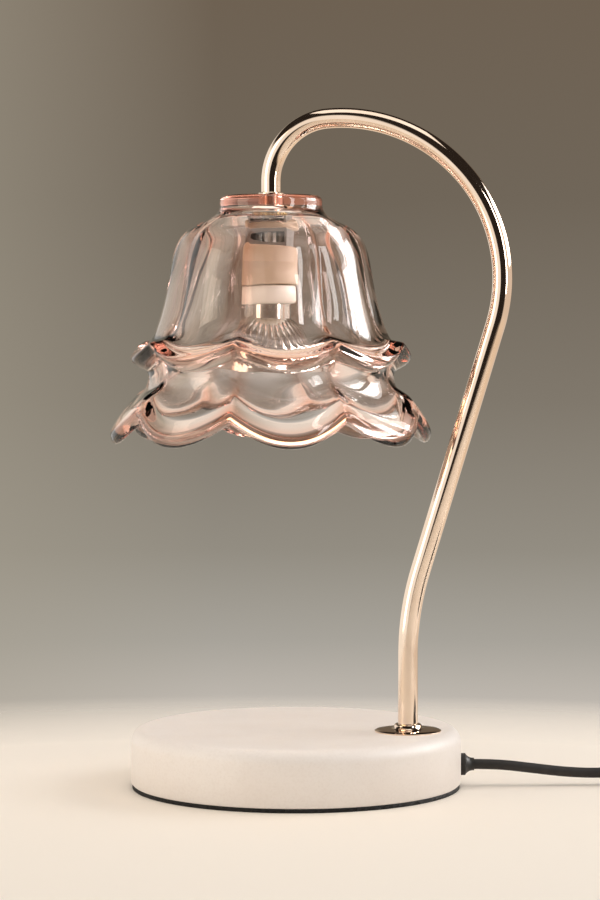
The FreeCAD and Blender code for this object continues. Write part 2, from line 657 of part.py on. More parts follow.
def bulb_burner():
    """The capsule, and the two leads that carry it from the cap."""
    height = size("bulb_glass_height")
    length, radius = size("burner_length"), size("burner_radius")
    middle = height * 0.5
    capsule = Part.makeCylinder(radius, length, Vector(0, 0, middle - length / 2))
    tip = Part.makeSphere(radius, Vector(0, 0, middle - length / 2))
    shape = capsule.fuse(tip)
    top = height - size("bulb_wall")
    for side in (-1, 1):
        foot = Vector(side * size("burner_lead_spacing") / 2, 0, middle + length / 2)
        shape = shape.fuse(Part.makeCylinder(size("burner_lead_radius"), top - foot.z, foot))
    return feature("bulb_burner", shape.removeSplitter(),
                   Placement(Vector(head_x, 0, bulb_rim_z), Rotation()))


bulb_cap()
bulb_pins()
bulb_reflector()
bulb_lens()
bulb_burner()


# glass shade: one fire-polished skin per petal, outside and inside in one sweep, closed at the top
def shade_stations():
    """The petal's outline from the collar over the lip and the rim and back up inside.

    Each station is radius, height, and how far a crease between petals lies in and up from it."""
    wall = size("glass_wall")
    collar, bell, lip = size("collar_radius"), size("bell_radius"), size("lip_radius")
    waist, rim, band = size("waist_radius"), size("rim_radius"), size("rim_band")
    shoulder = collar + 0.62 * (bell - collar)
    bell_z, lip_z, waist_z = -size("bell_drop"), -size("lip_drop"), -size("waist_drop")
    rim_z, foot_z = -size("rim_drop"), -size("shade_height")
    crease, lip_in, lip_up = size("bell_crease"), size("lip_crease"), size("lip_rise")
    rim_in, rim_up = size("rim_crease"), size("rim_rise")
    half = wall / 2
    return [
        (collar - 1.4, 0, 0, 0),
        (collar, -1.4, 0, 0),
        (collar + 0.2, -size("collar_height") + 0.3, 0, 0),
        (shoulder, bell_z * 0.43, crease * 0.7, 0),
        (bell, bell_z, crease, 0),
        (bell + 0.36 * (lip - bell), bell_z + 0.66 * (lip_z - bell_z), crease, 0),
        (lip - 5.4, lip_z + 4.6, crease, lip_up * 0.6),
        (lip, lip_z, lip_in, lip_up),
        (lip - 2.6, lip_z - 3.4, lip_in, lip_up),
        (waist, waist_z, lip_in, lip_up * 0.75),
        (waist + 1.4, waist_z + 0.30 * (foot_z - waist_z), lip_in, rim_up * 0.45),
        (waist + 0.68 * (rim - waist), waist_z + 0.60 * (foot_z - waist_z), rim_in * 0.7, rim_up * 0.8),
        (rim - 0.9, rim_z + half, rim_in, rim_up),
        (rim, rim_z - 0.6, rim_in, rim_up),
        (rim - half, foot_z, rim_in, rim_up),
        (rim - band, foot_z + half, rim_in, rim_up),
        (waist + 0.5 * (rim - waist) - wall, waist_z + 0.55 * (foot_z - waist_z), rim_in * 0.7, rim_up * 0.8),
        (waist - wall, waist_z + 0.15 * (foot_z - waist_z), lip_in, lip_up * 0.6),
        (bell + 0.36 * (lip - bell) - wall - 1.2, bell_z + 0.66 * (lip_z - bell_z), crease, 0),
        (bell - wall, bell_z, crease, 0),
        (shoulder - 0.8 * wall, bell_z * 0.43 - 0.7 * wall, crease * 0.6, 0),
        (collar - 0.7 * wall, -size("shade_top_thickness"), 0, 0),
    ]


def petal_skin(stations, petal_angle, columns=2, rows=26):
    """One petal's skin, from the crease on its one side to the crease on the other."""
    grid = []
    for i in range(columns + 1):
        share = i / columns
        angle = math.radians(petal_angle * share)
        fullness = math.sin(math.pi * share)
        points = []
        for radius, height, crease_in, crease_up in stations:
            r = radius - crease_in * (1 - fullness)
            z = height + crease_up * (1 - fullness)
            points.append(Vector(r * math.cos(angle), r * math.sin(angle), z))
        profile = Part.BSplineCurve()
        profile.interpolate(points)
        grid.append(profile.discretize(Number=rows))
    surface = Part.BSplineSurface()
    surface.interpolate(grid)
    return surface.toShape()


def glass_shade():
    stations = shade_stations()
    count = int(size("petal_count"))
    step = 360.0 / count
    first = petal_skin(stations, step)
    skins = []
    for i in range(count):
        skin = first.copy()
        skin.rotate(Vector(0, 0, 0), Vector(0, 0, 1), step * i)
        skins.append(skin)
    loops = {"outer": [], "inner": []}
    for skin in skins:
        for edge in skin.Edges:
            middle = edge.valueAt((edge.FirstParameter + edge.LastParameter) / 2)
            for name, station in (("outer", stations[0]), ("inner", stations[-1])):
                if abs(middle.z - station[1]) < 0.001 and abs(math.hypot(middle.x, middle.y) - station[0]) < 0.2:
                    loops[name].append(edge)
    hole = stud_radius + size("shade_hole_play")
    wall = Part.makeCylinder(hole, stations[0][1] - stations[-1][1], Vector(0, 0, stations[-1][1]))
    bore = [f for f in wall.Faces if isinstance(f.Surface, Part.Cylinder)]
    faces = skins + bore
    for name, station in (("outer", stations[0]), ("inner", stations[-1])):
        rim = Part.Wire(Part.__sortEdges__(loops[name]))
        circle = Part.Wire([e for e in bore[0].Edges if isinstance(e.Curve, Part.Circle)
                            and abs(e.Curve.Center.z - station[1]) < 0.001])
        faces.append(Part.Face(rim).cut(Part.Face(circle)).Faces[0])
    shell = Part.makeShell(faces)
    shell.sewShape()
    solid = Part.Solid(Part.Shell(shell.Faces))
    if solid.Volume < 0:
        solid.reverse()
    print("shade closed", solid.isClosed(), "volume", round(solid.Volume))
    return feature("glass_shade", solid, Placement(Vector(head_x, 0, glass_top), Rotation()))


glass_shade()


# cord entry: gland in the side bore, the cord inside the base, its clamp, splices and inner wires
def cord_gland():
    """A bush with an outer flange and a short flare, turned about the cord's line."""
    flange, flare = size("gland_flange"), size("gland_flare")
    sleeve, bore = size("gland_sleeve_radius"), size("cord_radius") + size("fit")
    inside = size("base_radius") - gland_inner
    points = [Vector(bore, 0, -inside), Vector(sleeve, 0, -inside), Vector(sleeve, 0, 0),
              Vector(size("gland_flange_radius"), 0, 0), Vector(size("gland_flange_radius"), 0, flange)]
    edges = [Part.LineSegment(a, b).toShape() for a, b in zip(points, points[1:])]
    end = Vector(size("gland_flare_radius"), 0, flange + flare)
    middle = Vector(size("gland_flare_radius") + 0.45, 0, flange + 0.4 * flare)
    edges.append(Part.Arc(points[-1], middle, end).toShape())
    edges.append(Part.LineSegment(end, Vector(bore, 0, flange + flare)).toShape())
    edges.append(Part.LineSegment(Vector(bore, 0, flange + flare), points[0]).toShape())
    bush = Part.Face(Part.Wire(edges)).revolve(Vector(0, 0, 0), Vector(0, 0, 1), 360)
    return feature("cord_gland", Part.Solid(bush.Shells[0]) if not bush.Solids else bush.Solids[0],
                   radial(size("base_radius"), size("gland_z")))


azimuth = math.radians(size("gland_azimuth"))
recess_near = recess_x * math.cos(azimuth)
gland_inner = recess_near + math.sqrt(recess_near ** 2 - recess_x ** 2 + size("recess_radius") ** 2)
gland_inner -= size("gland_inside")
cord_exit = size("base_radius") + size("gland_flange") + size("gland_flare")
dimmer_start = derive("dimmer_start", cord_exit + size("lead_reach"))
dimmer_end = derive("dimmer_end", dimmer_start + size("dimmer_length"))
cord_gland()
inner_end = gland_inner - size("cord_inner_length")
feature("cord_inner", Part.makeCylinder(size("cord_radius"), cord_exit - inner_end),
        radial(inner_end, size("gland_z")))


def cord_clamp():
    """A saddle that holds the cord up against the recess roof, and its two screws."""
    length, radius = size("clamp_length"), size("cord_radius")
    bottom = size("gland_z") - radius - size("clamp_floor")
    width = size("clamp_screw_spacing") + 2 * (size("clamp_screw_head_radius") + size("clamp_edge"))
    saddle = Part.makeBox(length, width, recess_roof - bottom, Vector(-length / 2, -width / 2, bottom))
    channel = Part.makeCylinder(radius + size("fit"), length, Vector(-length / 2, 0, size("gland_z")),
                                Vector(1, 0, 0))
    shape = saddle.cut(channel)
    screws = []
    for side in (-1, 1):
        y = side * size("clamp_screw_spacing") / 2
        shank = Part.makeCylinder(size("clamp_screw_radius"), recess_roof - bottom + size("clamp_screw_grip"),
                                  Vector(0, y, bottom))
        shape = shape.cut(shank)
        head = Part.makeCylinder(size("clamp_screw_head_radius"), size("clamp_screw_head"),
                                 Vector(0, y, bottom - size("clamp_screw_head")))
        screws.append(shank.fuse(head).removeSplitter())
    place = Placement(along(post_x - size("clamp_from_post"), 0, 0), Rotation(Vector(0, 0, 1), size("gland_azimuth")))
    feature("cord_clamp", shape, place)
    feature("clamp_screws", Part.makeCompound(screws), place)
    holes = doc.addObject("Part::Feature", "ScrewHoles")
    holes.Shape = Part.makeCompound([screw.copy() for screw in screws])
    holes.Placement = place
    return holes


screw_holes = cord_clamp()
stone = parts[0]
parts.remove(stone)
drilled = doc.addObject("Part::Cut", "Cut")
drilled.Base, drilled.Tool = stone, screw_holes
keep(drilled, "base_disc")


def inner_wires():
    """Two insulated leads: from the splices up the stud and the arm to the lampholder."""
    leads, splices, tails = [], [], []
    mouth = splice_x + size("splice_length")
    for side in (-1, 1):
        y = side * size("wire_offset")
        corner = Vector(post_x, y, size("splice_z"))
        foot = Vector(post_x, y, arm_foot_z)
        start = Vector(mouth, side * (size("splice_y") - 1.0), size("splice_z"))
        straight = start + Vector(size("splice_mouth_run"), 0, 0)
        turn_in = Vector(mouth + size("wire_run_in"), y, size("splice_z"))
        edges, _ = rounded_route([start, straight, turn_in, corner, foot],
                                 fixed_radius=size("wire_bend_radius"))
        for edge in arm_edges:
            moved = edge.copy()
            moved.translate(Vector(0, y, 0))
            edges.append(moved)
        edges.append(Part.LineSegment(Vector(head_x, y, arm_end_z),
                                      Vector(head_x, y, holder_split_z)).toShape())
        leads.append(tube_along(edges, size("wire_radius")))
        splice = Part.makeCylinder(size("splice_radius"), size("splice_length"),
                                   Vector(splice_x, side * size("splice_y"), size("splice_z")),
                                   Vector(1, 0, 0))
        splices.append(splice)
        tail_start = along(inner_end, side * size("wire_offset"), size("gland_z"))
        tail_end = Vector(mouth, side * (size("splice_y") + 1.4), size("splice_z") + 0.6)
        across = Vector(mouth + 2.5, tail_end.y, tail_end.z)
        leave = tail_start - (along(1, 0, 0) - along(0, 0, 0)) * size("splice_mouth_run")
        tail, _ = rounded_route([tail_start, leave, across, tail_end], share=0.4)
        tails.append(tube_along(tail, size("wire_radius") * 0.8))
    feature("lead_wires", Part.makeCompound(leads))
    feature("crimp_splices", Part.makeCompound(splices))
    feature("cord_conductors", Part.makeCompound(tails))


inner_wires()


# free cord: one stretch from the gland to the dimmer, then the put-away coil and the plug
CORD_ROUTE = [
    along(cord_exit, 0, size("gland_z")), along(cord_exit + 11, 0, size("gland_z")),
    along(cord_exit + 26, 0.5, size("lead_upper_z")), along(cord_exit + 43, 1.5, size("lead_lower_z")),
    along(dimmer_start - 27, 1.4, size("lead_low_z")), along(dimmer_start - 11, 0, size("cord_entry_z")),
    along(dimmer_start, 0, size("cord_entry_z")),
]
lead_edges, lead_radii = rounded_route(CORD_ROUTE)
lead = tube_along(lead_edges, size("cord_radius"))
section = math.pi * size("cord_radius") ** 2
lead_length = Part.Wire(lead_edges).Length
print("cord lead radii", [round(r, 1) for r in lead_radii], "length", round(lead_length, 1),
      "volume ratio", round(lead.Volume / (section * lead_length), 4))
feature("cord_lead", lead)

coil_centre = derive("coil_centre", dimmer_end + size("coil_offset"))
turns = size("coil_layer_turns")
layer_rise = size("coil_pitch")
coil_outer = size("coil_inner_radius") + size("coil_pitch") * (turns + 0.25)
coil_side = derive("coil_side", -coil_outer)


def coil_point(turn):
    """The coil's centreline, by turns from the middle of the half turn that climbs."""
    radius = size("coil_inner_radius") + size("coil_pitch") * abs(turn)
    angle = math.radians(360 * (turn + turns + 0.25) - 90)
    low = size("cord_radius") + size("coil_lift")
    climb = min(max(turn + 0.25, 0.0), 0.5) * 2
    rise = layer_rise * (1 - math.cos(math.pi * climb)) / 2
    return along(coil_centre + radius * math.cos(angle), coil_side - radius * math.sin(angle), low + rise)


def biarc(start, start_way, end, end_way):
    """Two arcs that leave and arrive in the given directions."""
    chord = end - start
    ways = start_way + end_way
    spare = 2 * (1 - start_way.dot(end_way))
    if spare < 1e-9:
        reach = chord.Length / 4
    else:
        reach = (-chord.dot(ways) + math.sqrt(chord.dot(ways) ** 2 + spare * chord.dot(chord))) / spare
    joint = (start + end + (start_way - end_way) * reach) * 0.5
    arcs = []
    for a, way, b in ((start, start_way, joint), (joint, None, end)):
        corner = a + way * reach if way is not None else b - end_way * reach
        chord_middle = (a + b) * 0.5
        sag = corner - chord_middle
        half = (b - a).Length / 2
        if sag.Length < 1e-6:
            arcs.append(Part.LineSegment(a, b).toShape())
            continue
        half_angle = math.atan2(sag.Length, half)
        radius = half / math.sin(half_angle)
        middle = chord_middle + sag.normalize() * radius * (1 - math.cos(half_angle))
        arcs.append(Part.Arc(a, middle, b).toShape())
    return arcs


def way_at(turn):
    return (coil_point(turn + 1e-4) - coil_point(turn - 1e-4)).normalize()


def cord_coil():
    """One unbroken tube: out of the dimmer, in over the floor, back out on top, to the plug."""
    out = along(1, 0, 0) - along(0, 0, 0)
    straight = 2 * size("cord_radius")
    start = along(dimmer_end, 0, size("cord_entry_z"))
    first = start + out * straight
    low_turn, high_turn = -(turns + 0.25), turns + 0.25
    edges = [Part.LineSegment(start, first).toShape()]
    edges += biarc(first, out, coil_point(low_turn), way_at(low_turn + 2e-4))
    steps = int(round((high_turn - low_turn) * 4))
    for i in range(steps):
        a = low_turn + i * 0.25
        b = a + 0.25
        edges += biarc(coil_point(a), way_at(a + (2e-4 if i == 0 else 0)), coil_point(b),
                       way_at(b - (2e-4 if i == steps - 1 else 0)))
    last = coil_point(high_turn)
    away = way_at(high_turn - 2e-4)
    joint = last + away * size("plug_run")
    flat = Vector(away.x, away.y, 0).normalize()
    plug_entry = Vector(joint.x, joint.y, size("plug_height") / 2) + flat * size("plug_run_end")
    edges += biarc(last, away, plug_entry, flat)
    edges.append(Part.LineSegment(plug_entry, plug_entry + flat * straight).toShape())
    return edges, plug_entry + flat * straight, flat


coil_edges, plug_mouth, plug_way = cord_coil()
coil = tube_along(coil_edges, size("cord_radius"))
coil_length = Part.Wire(coil_edges).Length
print("cord coil length", round(coil_length, 1), "volume ratio", round(coil.Volume / (section * coil_length), 4))
samples = [coil_point(-(turns + 0.25) + 0.02 * i) for i in range(int((turns + 0.25) * 100) + 1)]
gap = min((samples[i] - samples[j]).Length for i in range(len(samples)) for j in range(i + 30, len(samples)))
print("coil least gap", round(gap - 2 * size("cord_radius"), 2))
feature("cord_coil", coil)


def coil_tie():
    """A flat strap round the whole bundle, on the side away from the dimmer."""
    radius, width = size("cord_radius"), size("tie_width")
    gap, thick = size("tie_gap"), size("tie_thickness")
    near = size("coil_inner_radius") + size("coil_pitch") * 0.5 - radius - size("tie_play_inside")
    far = size("coil_inner_radius") + size("coil_pitch") * turns + radius + size("tie_play_outside")
    low = size("coil_lift") - gap
    high = size("coil_lift") + 2 * radius + layer_rise + gap
    window = Part.makeBox(far - near, width, high - low, Vector(near, -width / 2, low))
    frame = Part.makeBox(far - near + 2 * thick, width, high - low + 2 * thick,
                         Vector(near - thick, -width / 2, low - thick))
    corners = [e for e in frame.Edges if abs(e.tangentAt(e.FirstParameter).y) > 0.9]
    shape = frame.makeFillet(thick, corners).cut(window)
    centre = along(coil_centre, coil_side, 0)
    return feature("coil_tie", shape, Placement(centre, Rotation(Vector(0, 0, 1), size("gland_azimuth"))))


coil_tie()


# in-line dimmer: two shells round a board, and a dial with its shaft that turns in the upper one
dimmer_place = Placement(Vector(0, 0, 0), Rotation(Vector(0, 0, 1), size("gland_azimuth")))
nozzle = size("nozzle_length")
shell_start = dimmer_start + nozzle
shell_length = size("dimmer_length") - 2 * nozzle
dimmer_middle = dimmer_start + size("dimmer_length") / 2
knob_bottom = derive("knob_bottom", size("dimmer_height") - size("dimmer_wall") - size("knob_flange_gap")
                     - size("knob_flange"))
board_z = derive("board_z", size("dimmer_wall") + size("board_post"))
screw_xs = (shell_start + size("dimmer_screw_inset"), shell_start + shell_length - size("dimmer_screw_inset"))


def upright_box(length, width, height, corner, x, z):
    """A block on the dimmer's line with rounded upright corners."""
    blank = Part.makeBox(length, width, height, Vector(x, -width / 2, z))
    uprights = [e for e in blank.Edges if abs(e.tangentAt(e.FirstParameter).z) > 0.9]
    return blank.makeFillet(corner, uprights)


def dimmer_shells():
    wall, height, split = size("dimmer_wall"), size("dimmer_height"), size("dimmer_split")
    width, corner = size("dimmer_width"), size("dimmer_corner")
    blank = upright_box(shell_length, width, height, corner, shell_start, 0)
    rims = [e for e in blank.Edges if e.BoundBox.ZLength < 0.01]
    blank = blank.makeFillet(size("dimmer_edge"), rims)
    tip, root = size("cord_radius") + size("nozzle_tip_wall"), size("cord_radius") + size("nozzle_root_wall")
    for x, way in ((dimmer_start, 1), (dimmer_end, -1)):
        cone = Part.makeCone(tip, root, nozzle + 1, Vector(x, 0, size("cord_entry_z")), Vector(way, 0, 0))
        blank = blank.fuse(cone)
    cavity = upright_box(shell_length - 2 * wall, width - 2 * wall, height - 2 * wall, corner - wall,
                         shell_start + wall, wall)
    boss = size("screw_boss_radius")
    bosses = [Part.makeCylinder(boss, height - 2 * wall, Vector(x, 0, wall)) for x in screw_xs]
    walls = blank.cut(cavity).fuse(bosses)
    dial_hole = Part.makeCylinder(size("knob_radius") + size("knob_gap"), wall + 1,
                                  Vector(dimmer_middle, 0, height - wall - 0.5))
    walls = walls.cut(dial_hole)
    for x in screw_xs:
        walls = walls.cut(Part.makeCylinder(size("dimmer_screw_radius"),
                                            size("dimmer_screw_length") + size("dimmer_screw_head"),
                                            Vector(x, 0, 0)))
        walls = walls.cut(Part.makeCylinder(size("dimmer_screw_head_radius") + size("fit"),
                                            size("dimmer_screw_head"), Vector(x, 0, 0)))
    reach = 2 * size("dimmer_length")
    below = Part.makeBox(reach, reach, split, Vector(dimmer_middle - reach / 2, -reach / 2, 0))
    above = Part.makeBox(reach, reach, height, Vector(dimmer_middle - reach / 2, -reach / 2, split))
    feature("dimmer_base", walls.common(below).removeSplitter(), dimmer_place)
    feature("dimmer_cover", walls.common(above).removeSplitter(), dimmer_place)


def dimmer_dial():
    """A ribbed dial with a hidden flange under the cover, a pointer groove and a keyed bore."""
    height = size("dimmer_height") + size("knob_proud") - knob_bottom
    blank = Part.makeCylinder(size("knob_radius"), height)
    top = [e for e in blank.Edges if isinstance(e.Curve, Part.Circle) and e.Curve.Center.z > height / 2]
    blank = blank.makeChamfer(size("knob_chamfer"), top)
    grooves = []
    ribs = int(size("knob_ribs"))
    for i in range(ribs):
        angle = 2 * math.pi * i / ribs
        centre = Vector(size("knob_radius") * math.cos(angle), size("knob_radius") * math.sin(angle),
                        height - size("knob_proud") + size("pointer_width") / 3)
        grooves.append(Part.makeCylinder(size("knob_rib_radius"), size("knob_proud"), centre))
    shape = blank.cut(Part.makeCompound(grooves))
    shape = shape.fuse(Part.makeCylinder(size("knob_radius") + size("knob_flange_reach"), size("knob_flange")))
    line = size("pointer_width")
    pointer = Part.makeBox(size("knob_radius") - size("pointer_start") - 1, line, line / 2,
                           Vector(size("pointer_start"), -line / 2, height - line / 2))
    shape = shape.cut(pointer).cut(Part.makeCylinder(size("shaft_radius") + size("fit"), size("shaft_socket")))
    place = Placement(along(dimmer_middle, 0, knob_bottom), Rotation(Vector(0, 0, 1), size("gland_azimuth")))
    feature("dimmer_knob", shape.removeSplitter(), place)
    shaft = Part.makeCylinder(size("shaft_radius"), size("shaft_length"))
    foot = Placement(along(dimmer_middle, 0, knob_bottom + size("shaft_socket") - size("shaft_length")), Rotation())
    feature("dimmer_shaft", shaft, foot)


def dimmer_board():
    """The board with its control body; it stands on four posts above the floor of the shell."""
    thickness, length, side = size("board_thickness"), size("board_length"), size("control_side")
    board = upright_box(length, size("board_width"), thickness, 2.0, dimmer_middle - length / 2, board_z)
    top = knob_bottom + size("shaft_socket") - size("shaft_length") - size("control_gap")
    control = upright_box(side, side, top - board_z - thickness, 1.0, dimmer_middle - side / 2,
                          board_z + thickness)
    shape = board.fuse(control)
    for x in (-size("board_post_x"), size("board_post_x")):
        for y in (-size("board_post_y"), size("board_post_y")):
            foot = Vector(dimmer_middle + x, y, size("dimmer_wall"))
            shape = shape.fuse(Part.makeCylinder(size("board_post_radius"), size("board_post"), foot))
    return feature("dimmer_board", shape.removeSplitter(), dimmer_place)


dimmer_shells()
dimmer_dial()
dimmer_board()
dimmer_screws = []
for screw_x in screw_xs:
    screw_shank = Part.makeCylinder(size("dimmer_screw_radius"),
                                    size("dimmer_screw_length") + size("dimmer_screw_head"),
                                    Vector(screw_x, 0, 0))
    screw_head = Part.makeCylinder(size("dimmer_screw_head_radius"), size("dimmer_screw_head"),
                                   Vector(screw_x, 0, 0))
    dimmer_screws.append(screw_shank.fuse(screw_head).removeSplitter())
feature("dimmer_screws", Part.makeCompound(dimmer_screws), dimmer_place)


# plug: a moulded body with a tapered tail, and two blades set in it
def plug():
    length, width, height = size("plug_length"), size("plug_width"), size("plug_height")
    tail = size("plug_tail")
    body = Part.makeBox(length - tail, width, height, Vector(tail, -width / 2, 0))
    body = body.makeFillet(size("plug_corner"), body.Edges)
    cone = Part.makeCone(size("plug_tail_radius"), size("plug_tail_radius") + size("plug_tail_flare"),
                         tail + size("plug_corner"), Vector(0, 0, height / 2), Vector(1, 0, 0))
    body = body.fuse(cone).removeSplitter()
    blades = []
    for side in (-1, 1):
        blade = Part.makeBox(size("blade_length") + size("blade_in_plug"), size("blade_thickness"),
                             size("blade_width"),
                             Vector(length - size("blade_in_plug"), side * size("blade_spacing") / 2 - size("blade_thickness") / 2,
                                    height / 2 - size("blade_width") / 2))
        blades.append(blade)
    place = Placement(Vector(plug_mouth.x, plug_mouth.y, 0),
                      Rotation(Vector(1, 0, 0), Vector(plug_way.x, plug_way.y, 0)))
    feature("plug_body", body.cut(Part.makeCompound(blades)), place)
    feature("plug_blades", Part.makeCompound(blades), place)


plug()
doc.recompute()

for obj in doc.Objects:
    if "Invalid" in obj.State or "Error" in obj.State:
        raise RuntimeError("%s (%s) failed" % (obj.Label, obj.Name))
for obj in parts:
    if obj.Shape.isNull() or not obj.Shape.isValid():
        raise RuntimeError(obj.Label + " has no valid shape")
total = 0.0
for obj in parts:
    total += obj.Shape.Volume
    obj.Shape.exportStep("parts/" + obj.Label + ".step")
    print(obj.Label, "solids", len(obj.Shape.Solids), "volume", round(obj.Shape.Volume, 1))
print(len(parts), "nodes, volume", round(total))
print("head_x %.2f arm_end_z %.2f glass_top %.2f holder_z %.2f bulb_rim_z %.2f" % (
    head_x, arm_end_z, glass_top, holder_z, bulb_rim_z))
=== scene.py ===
import bpy, bmesh, json, math
from mathutils import Matrix, Vector


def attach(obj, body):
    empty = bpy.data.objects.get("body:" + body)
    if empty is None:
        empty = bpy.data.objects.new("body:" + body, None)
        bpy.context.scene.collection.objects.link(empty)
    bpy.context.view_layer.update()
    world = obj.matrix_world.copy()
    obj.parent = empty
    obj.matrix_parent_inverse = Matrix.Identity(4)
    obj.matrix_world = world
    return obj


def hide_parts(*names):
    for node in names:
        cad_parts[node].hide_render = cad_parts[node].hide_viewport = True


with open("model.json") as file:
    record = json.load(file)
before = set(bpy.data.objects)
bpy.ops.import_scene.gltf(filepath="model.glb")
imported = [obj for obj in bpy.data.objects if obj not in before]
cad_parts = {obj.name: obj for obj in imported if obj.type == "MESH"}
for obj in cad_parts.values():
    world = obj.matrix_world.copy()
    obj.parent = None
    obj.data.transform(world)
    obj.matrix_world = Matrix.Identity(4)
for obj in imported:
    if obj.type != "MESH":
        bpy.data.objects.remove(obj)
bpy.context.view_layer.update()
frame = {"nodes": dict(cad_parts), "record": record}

# Candle warmer lamp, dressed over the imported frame. Metres; sizes in the dictionaries are millimetres.
scene = bpy.context.scene
nodes = frame["nodes"]
mm = 0.001


# places on the cord's own line: out from the base's axis, sideways, and up
cordLine = {
    "azimuth": 15.0, "exit": 81.0, "exitHeight": 9.85, "entryHeight": 8.5, "radius": 2.3,
    "roundness": 5, "smoothness": 10,
}


def along(distance, side, height):
    turn = math.radians(cordLine["azimuth"])
    x = distance * math.cos(turn) - side * math.sin(turn)
    y = distance * math.sin(turn) + side * math.cos(turn)
    return Vector((x, y, height)) * mm


def tint(red, green, blue):
    # screen values 0 to 255 as the linear colour that a shader wants
    def linear(value):
        value = value / 255
        return value / 12.92 if value <= 0.04045 else ((value + 0.055) / 1.055) ** 2.4
    return (linear(red), linear(green), linear(blue), 1.0)


# camera, where the picture was taken from
camera = {
    "place": (0.33046, -1.22626, 0.206), "pitch": 2.3914, "azimuth": 15.0, "lens": 112.178, "film": 36.0,
    "nearest": 0.05,
}


def makeCamera():
    data = bpy.data.cameras.new("camera")
    data.lens, data.sensor_width, data.sensor_height = camera["lens"], camera["film"], camera["film"]
    data.sensor_fit = "AUTO"
    data.clip_start = camera["nearest"]
    eye = bpy.data.objects.new("camera", data)
    eye.location = camera["place"]
    eye.rotation_euler = (math.radians(90 - camera["pitch"]), 0, math.radians(camera["azimuth"]))
    scene.collection.objects.link(eye)
    scene.camera = eye


# shader maths: a socket that adds Math nodes when it is used in an expression
class Value:
    def __init__(self, finish, socket):
        self.finish, self.socket = finish, socket

    def math(self, operation, first, second):
        step = self.finish.node("ShaderNodeMath", {"operation": operation}, {0: first, 1: second})
        return Value(self.finish, step.outputs[0])

    def __add__(self, other): return self.math("ADD", self, other)
    def __radd__(self, other): return self.math("ADD", other, self)
    def __sub__(self, other): return self.math("SUBTRACT", self, other)
    def __rsub__(self, other): return self.math("SUBTRACT", other, self)
    def __mul__(self, other): return self.math("MULTIPLY", self, other)
    def __rmul__(self, other): return self.math("MULTIPLY", other, self)
    def __truediv__(self, other): return self.math("DIVIDE", self, other)
    def __rtruediv__(self, other): return self.math("DIVIDE", other, self)
    def power(self, other): return self.math("POWER", self, other)
    def of(self, operation): return self.math(operation, self, 0)


class Finish:
    def __init__(self, name, tree=None):
        if tree is None:
            self.material = bpy.data.materials.new(name)
            self.material.use_nodes = True
            tree = self.material.node_tree
        self.tree = tree
        self.tree.nodes.clear()

    def node(self, kind, settings=None, sockets=None):
        made = self.tree.nodes.new(kind)
        for key, value in (settings or {}).items():
            if key == "stops":
                ramp = made.color_ramp
                while len(ramp.elements) < len(value):
                    ramp.elements.new(0.5)
                for stop, (place, colour) in zip(ramp.elements, value):
                    stop.position, stop.color = place, colour
            else:
                setattr(made, key, value)
        for key, value in (sockets or {}).items():
            self.feed(made.inputs[key], value)
        return made

    def feed(self, socket, value):
        if isinstance(value, Value):
            self.tree.links.new(value.socket, socket)
        elif isinstance(value, bpy.types.NodeSocket):
            self.tree.links.new(value, socket)
        else:
            socket.default_value = value

    def place(self):
        return self.node("ShaderNodeTexCoord").outputs["Object"]

    def grain(self, scale, detail=3.0, rough=0.5):
        noise = self.node("ShaderNodeTexNoise", None, {
            "Vector": self.place(), "Scale": scale, "Detail": detail, "Roughness": rough})
        return Value(self, noise.outputs[0])

    def spread(self, value, low, high, start=0.3, end=0.7):
        # a value's range from start to end stretched over low to high; noise keeps to its middle range
        step = self.node("ShaderNodeMapRange", None, {
            "Value": value, "From Min": start, "From Max": end, "To Min": low, "To Max": high})
        return Value(self, step.outputs[0])

    def mixed(self, share, first, second):
        mix = self.node("ShaderNodeMix", {"data_type": "RGBA"}, {"Factor": share})
        self.feed(mix.inputs[6], first)
        self.feed(mix.inputs[7], second)
        return mix.outputs[2]

    def bump(self, height, distance, strength=1.0):
        step = self.node("ShaderNodeBump", None, {
            "Height": height, "Distance": distance, "Strength": strength})
        return step.outputs[0]

    def surface(self, sockets, volume=None):
        shader = self.node("ShaderNodeBsdfPrincipled", None, sockets)
        out = self.node("ShaderNodeOutputMaterial", None, {"Surface": shader.outputs[0]})
        if volume is not None:
            self.tree.links.new(volume, out.inputs["Volume"])
        return self.material


# finishes of this lamp
def honedStone():
    make = Finish("honedStone")
    cloud = make.spread(make.grain(22, 4, 0.6), 0, 1)
    fleck = make.spread(make.grain(900, 2, 0.5), 0, 1, 0.45, 0.75)
    colour = make.mixed(cloud * 0.7, tint(246, 240, 235), tint(237, 228, 221))
    colour = make.mixed(fleck * 0.25, colour, tint(226, 216, 208))
    return make.surface({"Base Color": colour, "Roughness": 0.42 + cloud * 0.12,
                         "Normal": make.bump(make.grain(1600, 3), 0.00006, 0.5), "IOR": 1.5})


def roseGold():
    make = Finish("roseGold")
    haze = make.spread(make.grain(60, 3), 0, 1)
    colour = make.mixed(haze, tint(240, 221, 203), tint(231, 209, 189))
    return make.surface({"Base Color": colour, "Metallic": 1.0, "Roughness": 0.05 + haze * 0.04,
                         "Normal": make.bump(make.grain(140, 2), 0.00001, 0.2)})


# painted light: the pressed glass's base colour is made pinker at the creases, the two scalloped edges and
# the collar, standing in for light passing through thicker glass there; the volume absorption (deepTone,
# density) is the glass's own pink tint
tintAndPaintedEdges = {
    "centre": -11.626, "petals": 8, "lip": 194.4, "lipRise": 6.5, "rim": 160.4, "rimRise": 10.5,
    "edge": 4.2, "collar": 262.0, "collarFade": 2.0, "narrow": 9, "creaseShare": 0.5, "edgeShare": 0.8,
    "collarShare": 0.7, "tone": (1.0, 0.68, 0.57, 1), "deepTone": (1.0, 0.55, 0.42, 1), "density": 28.0,
}


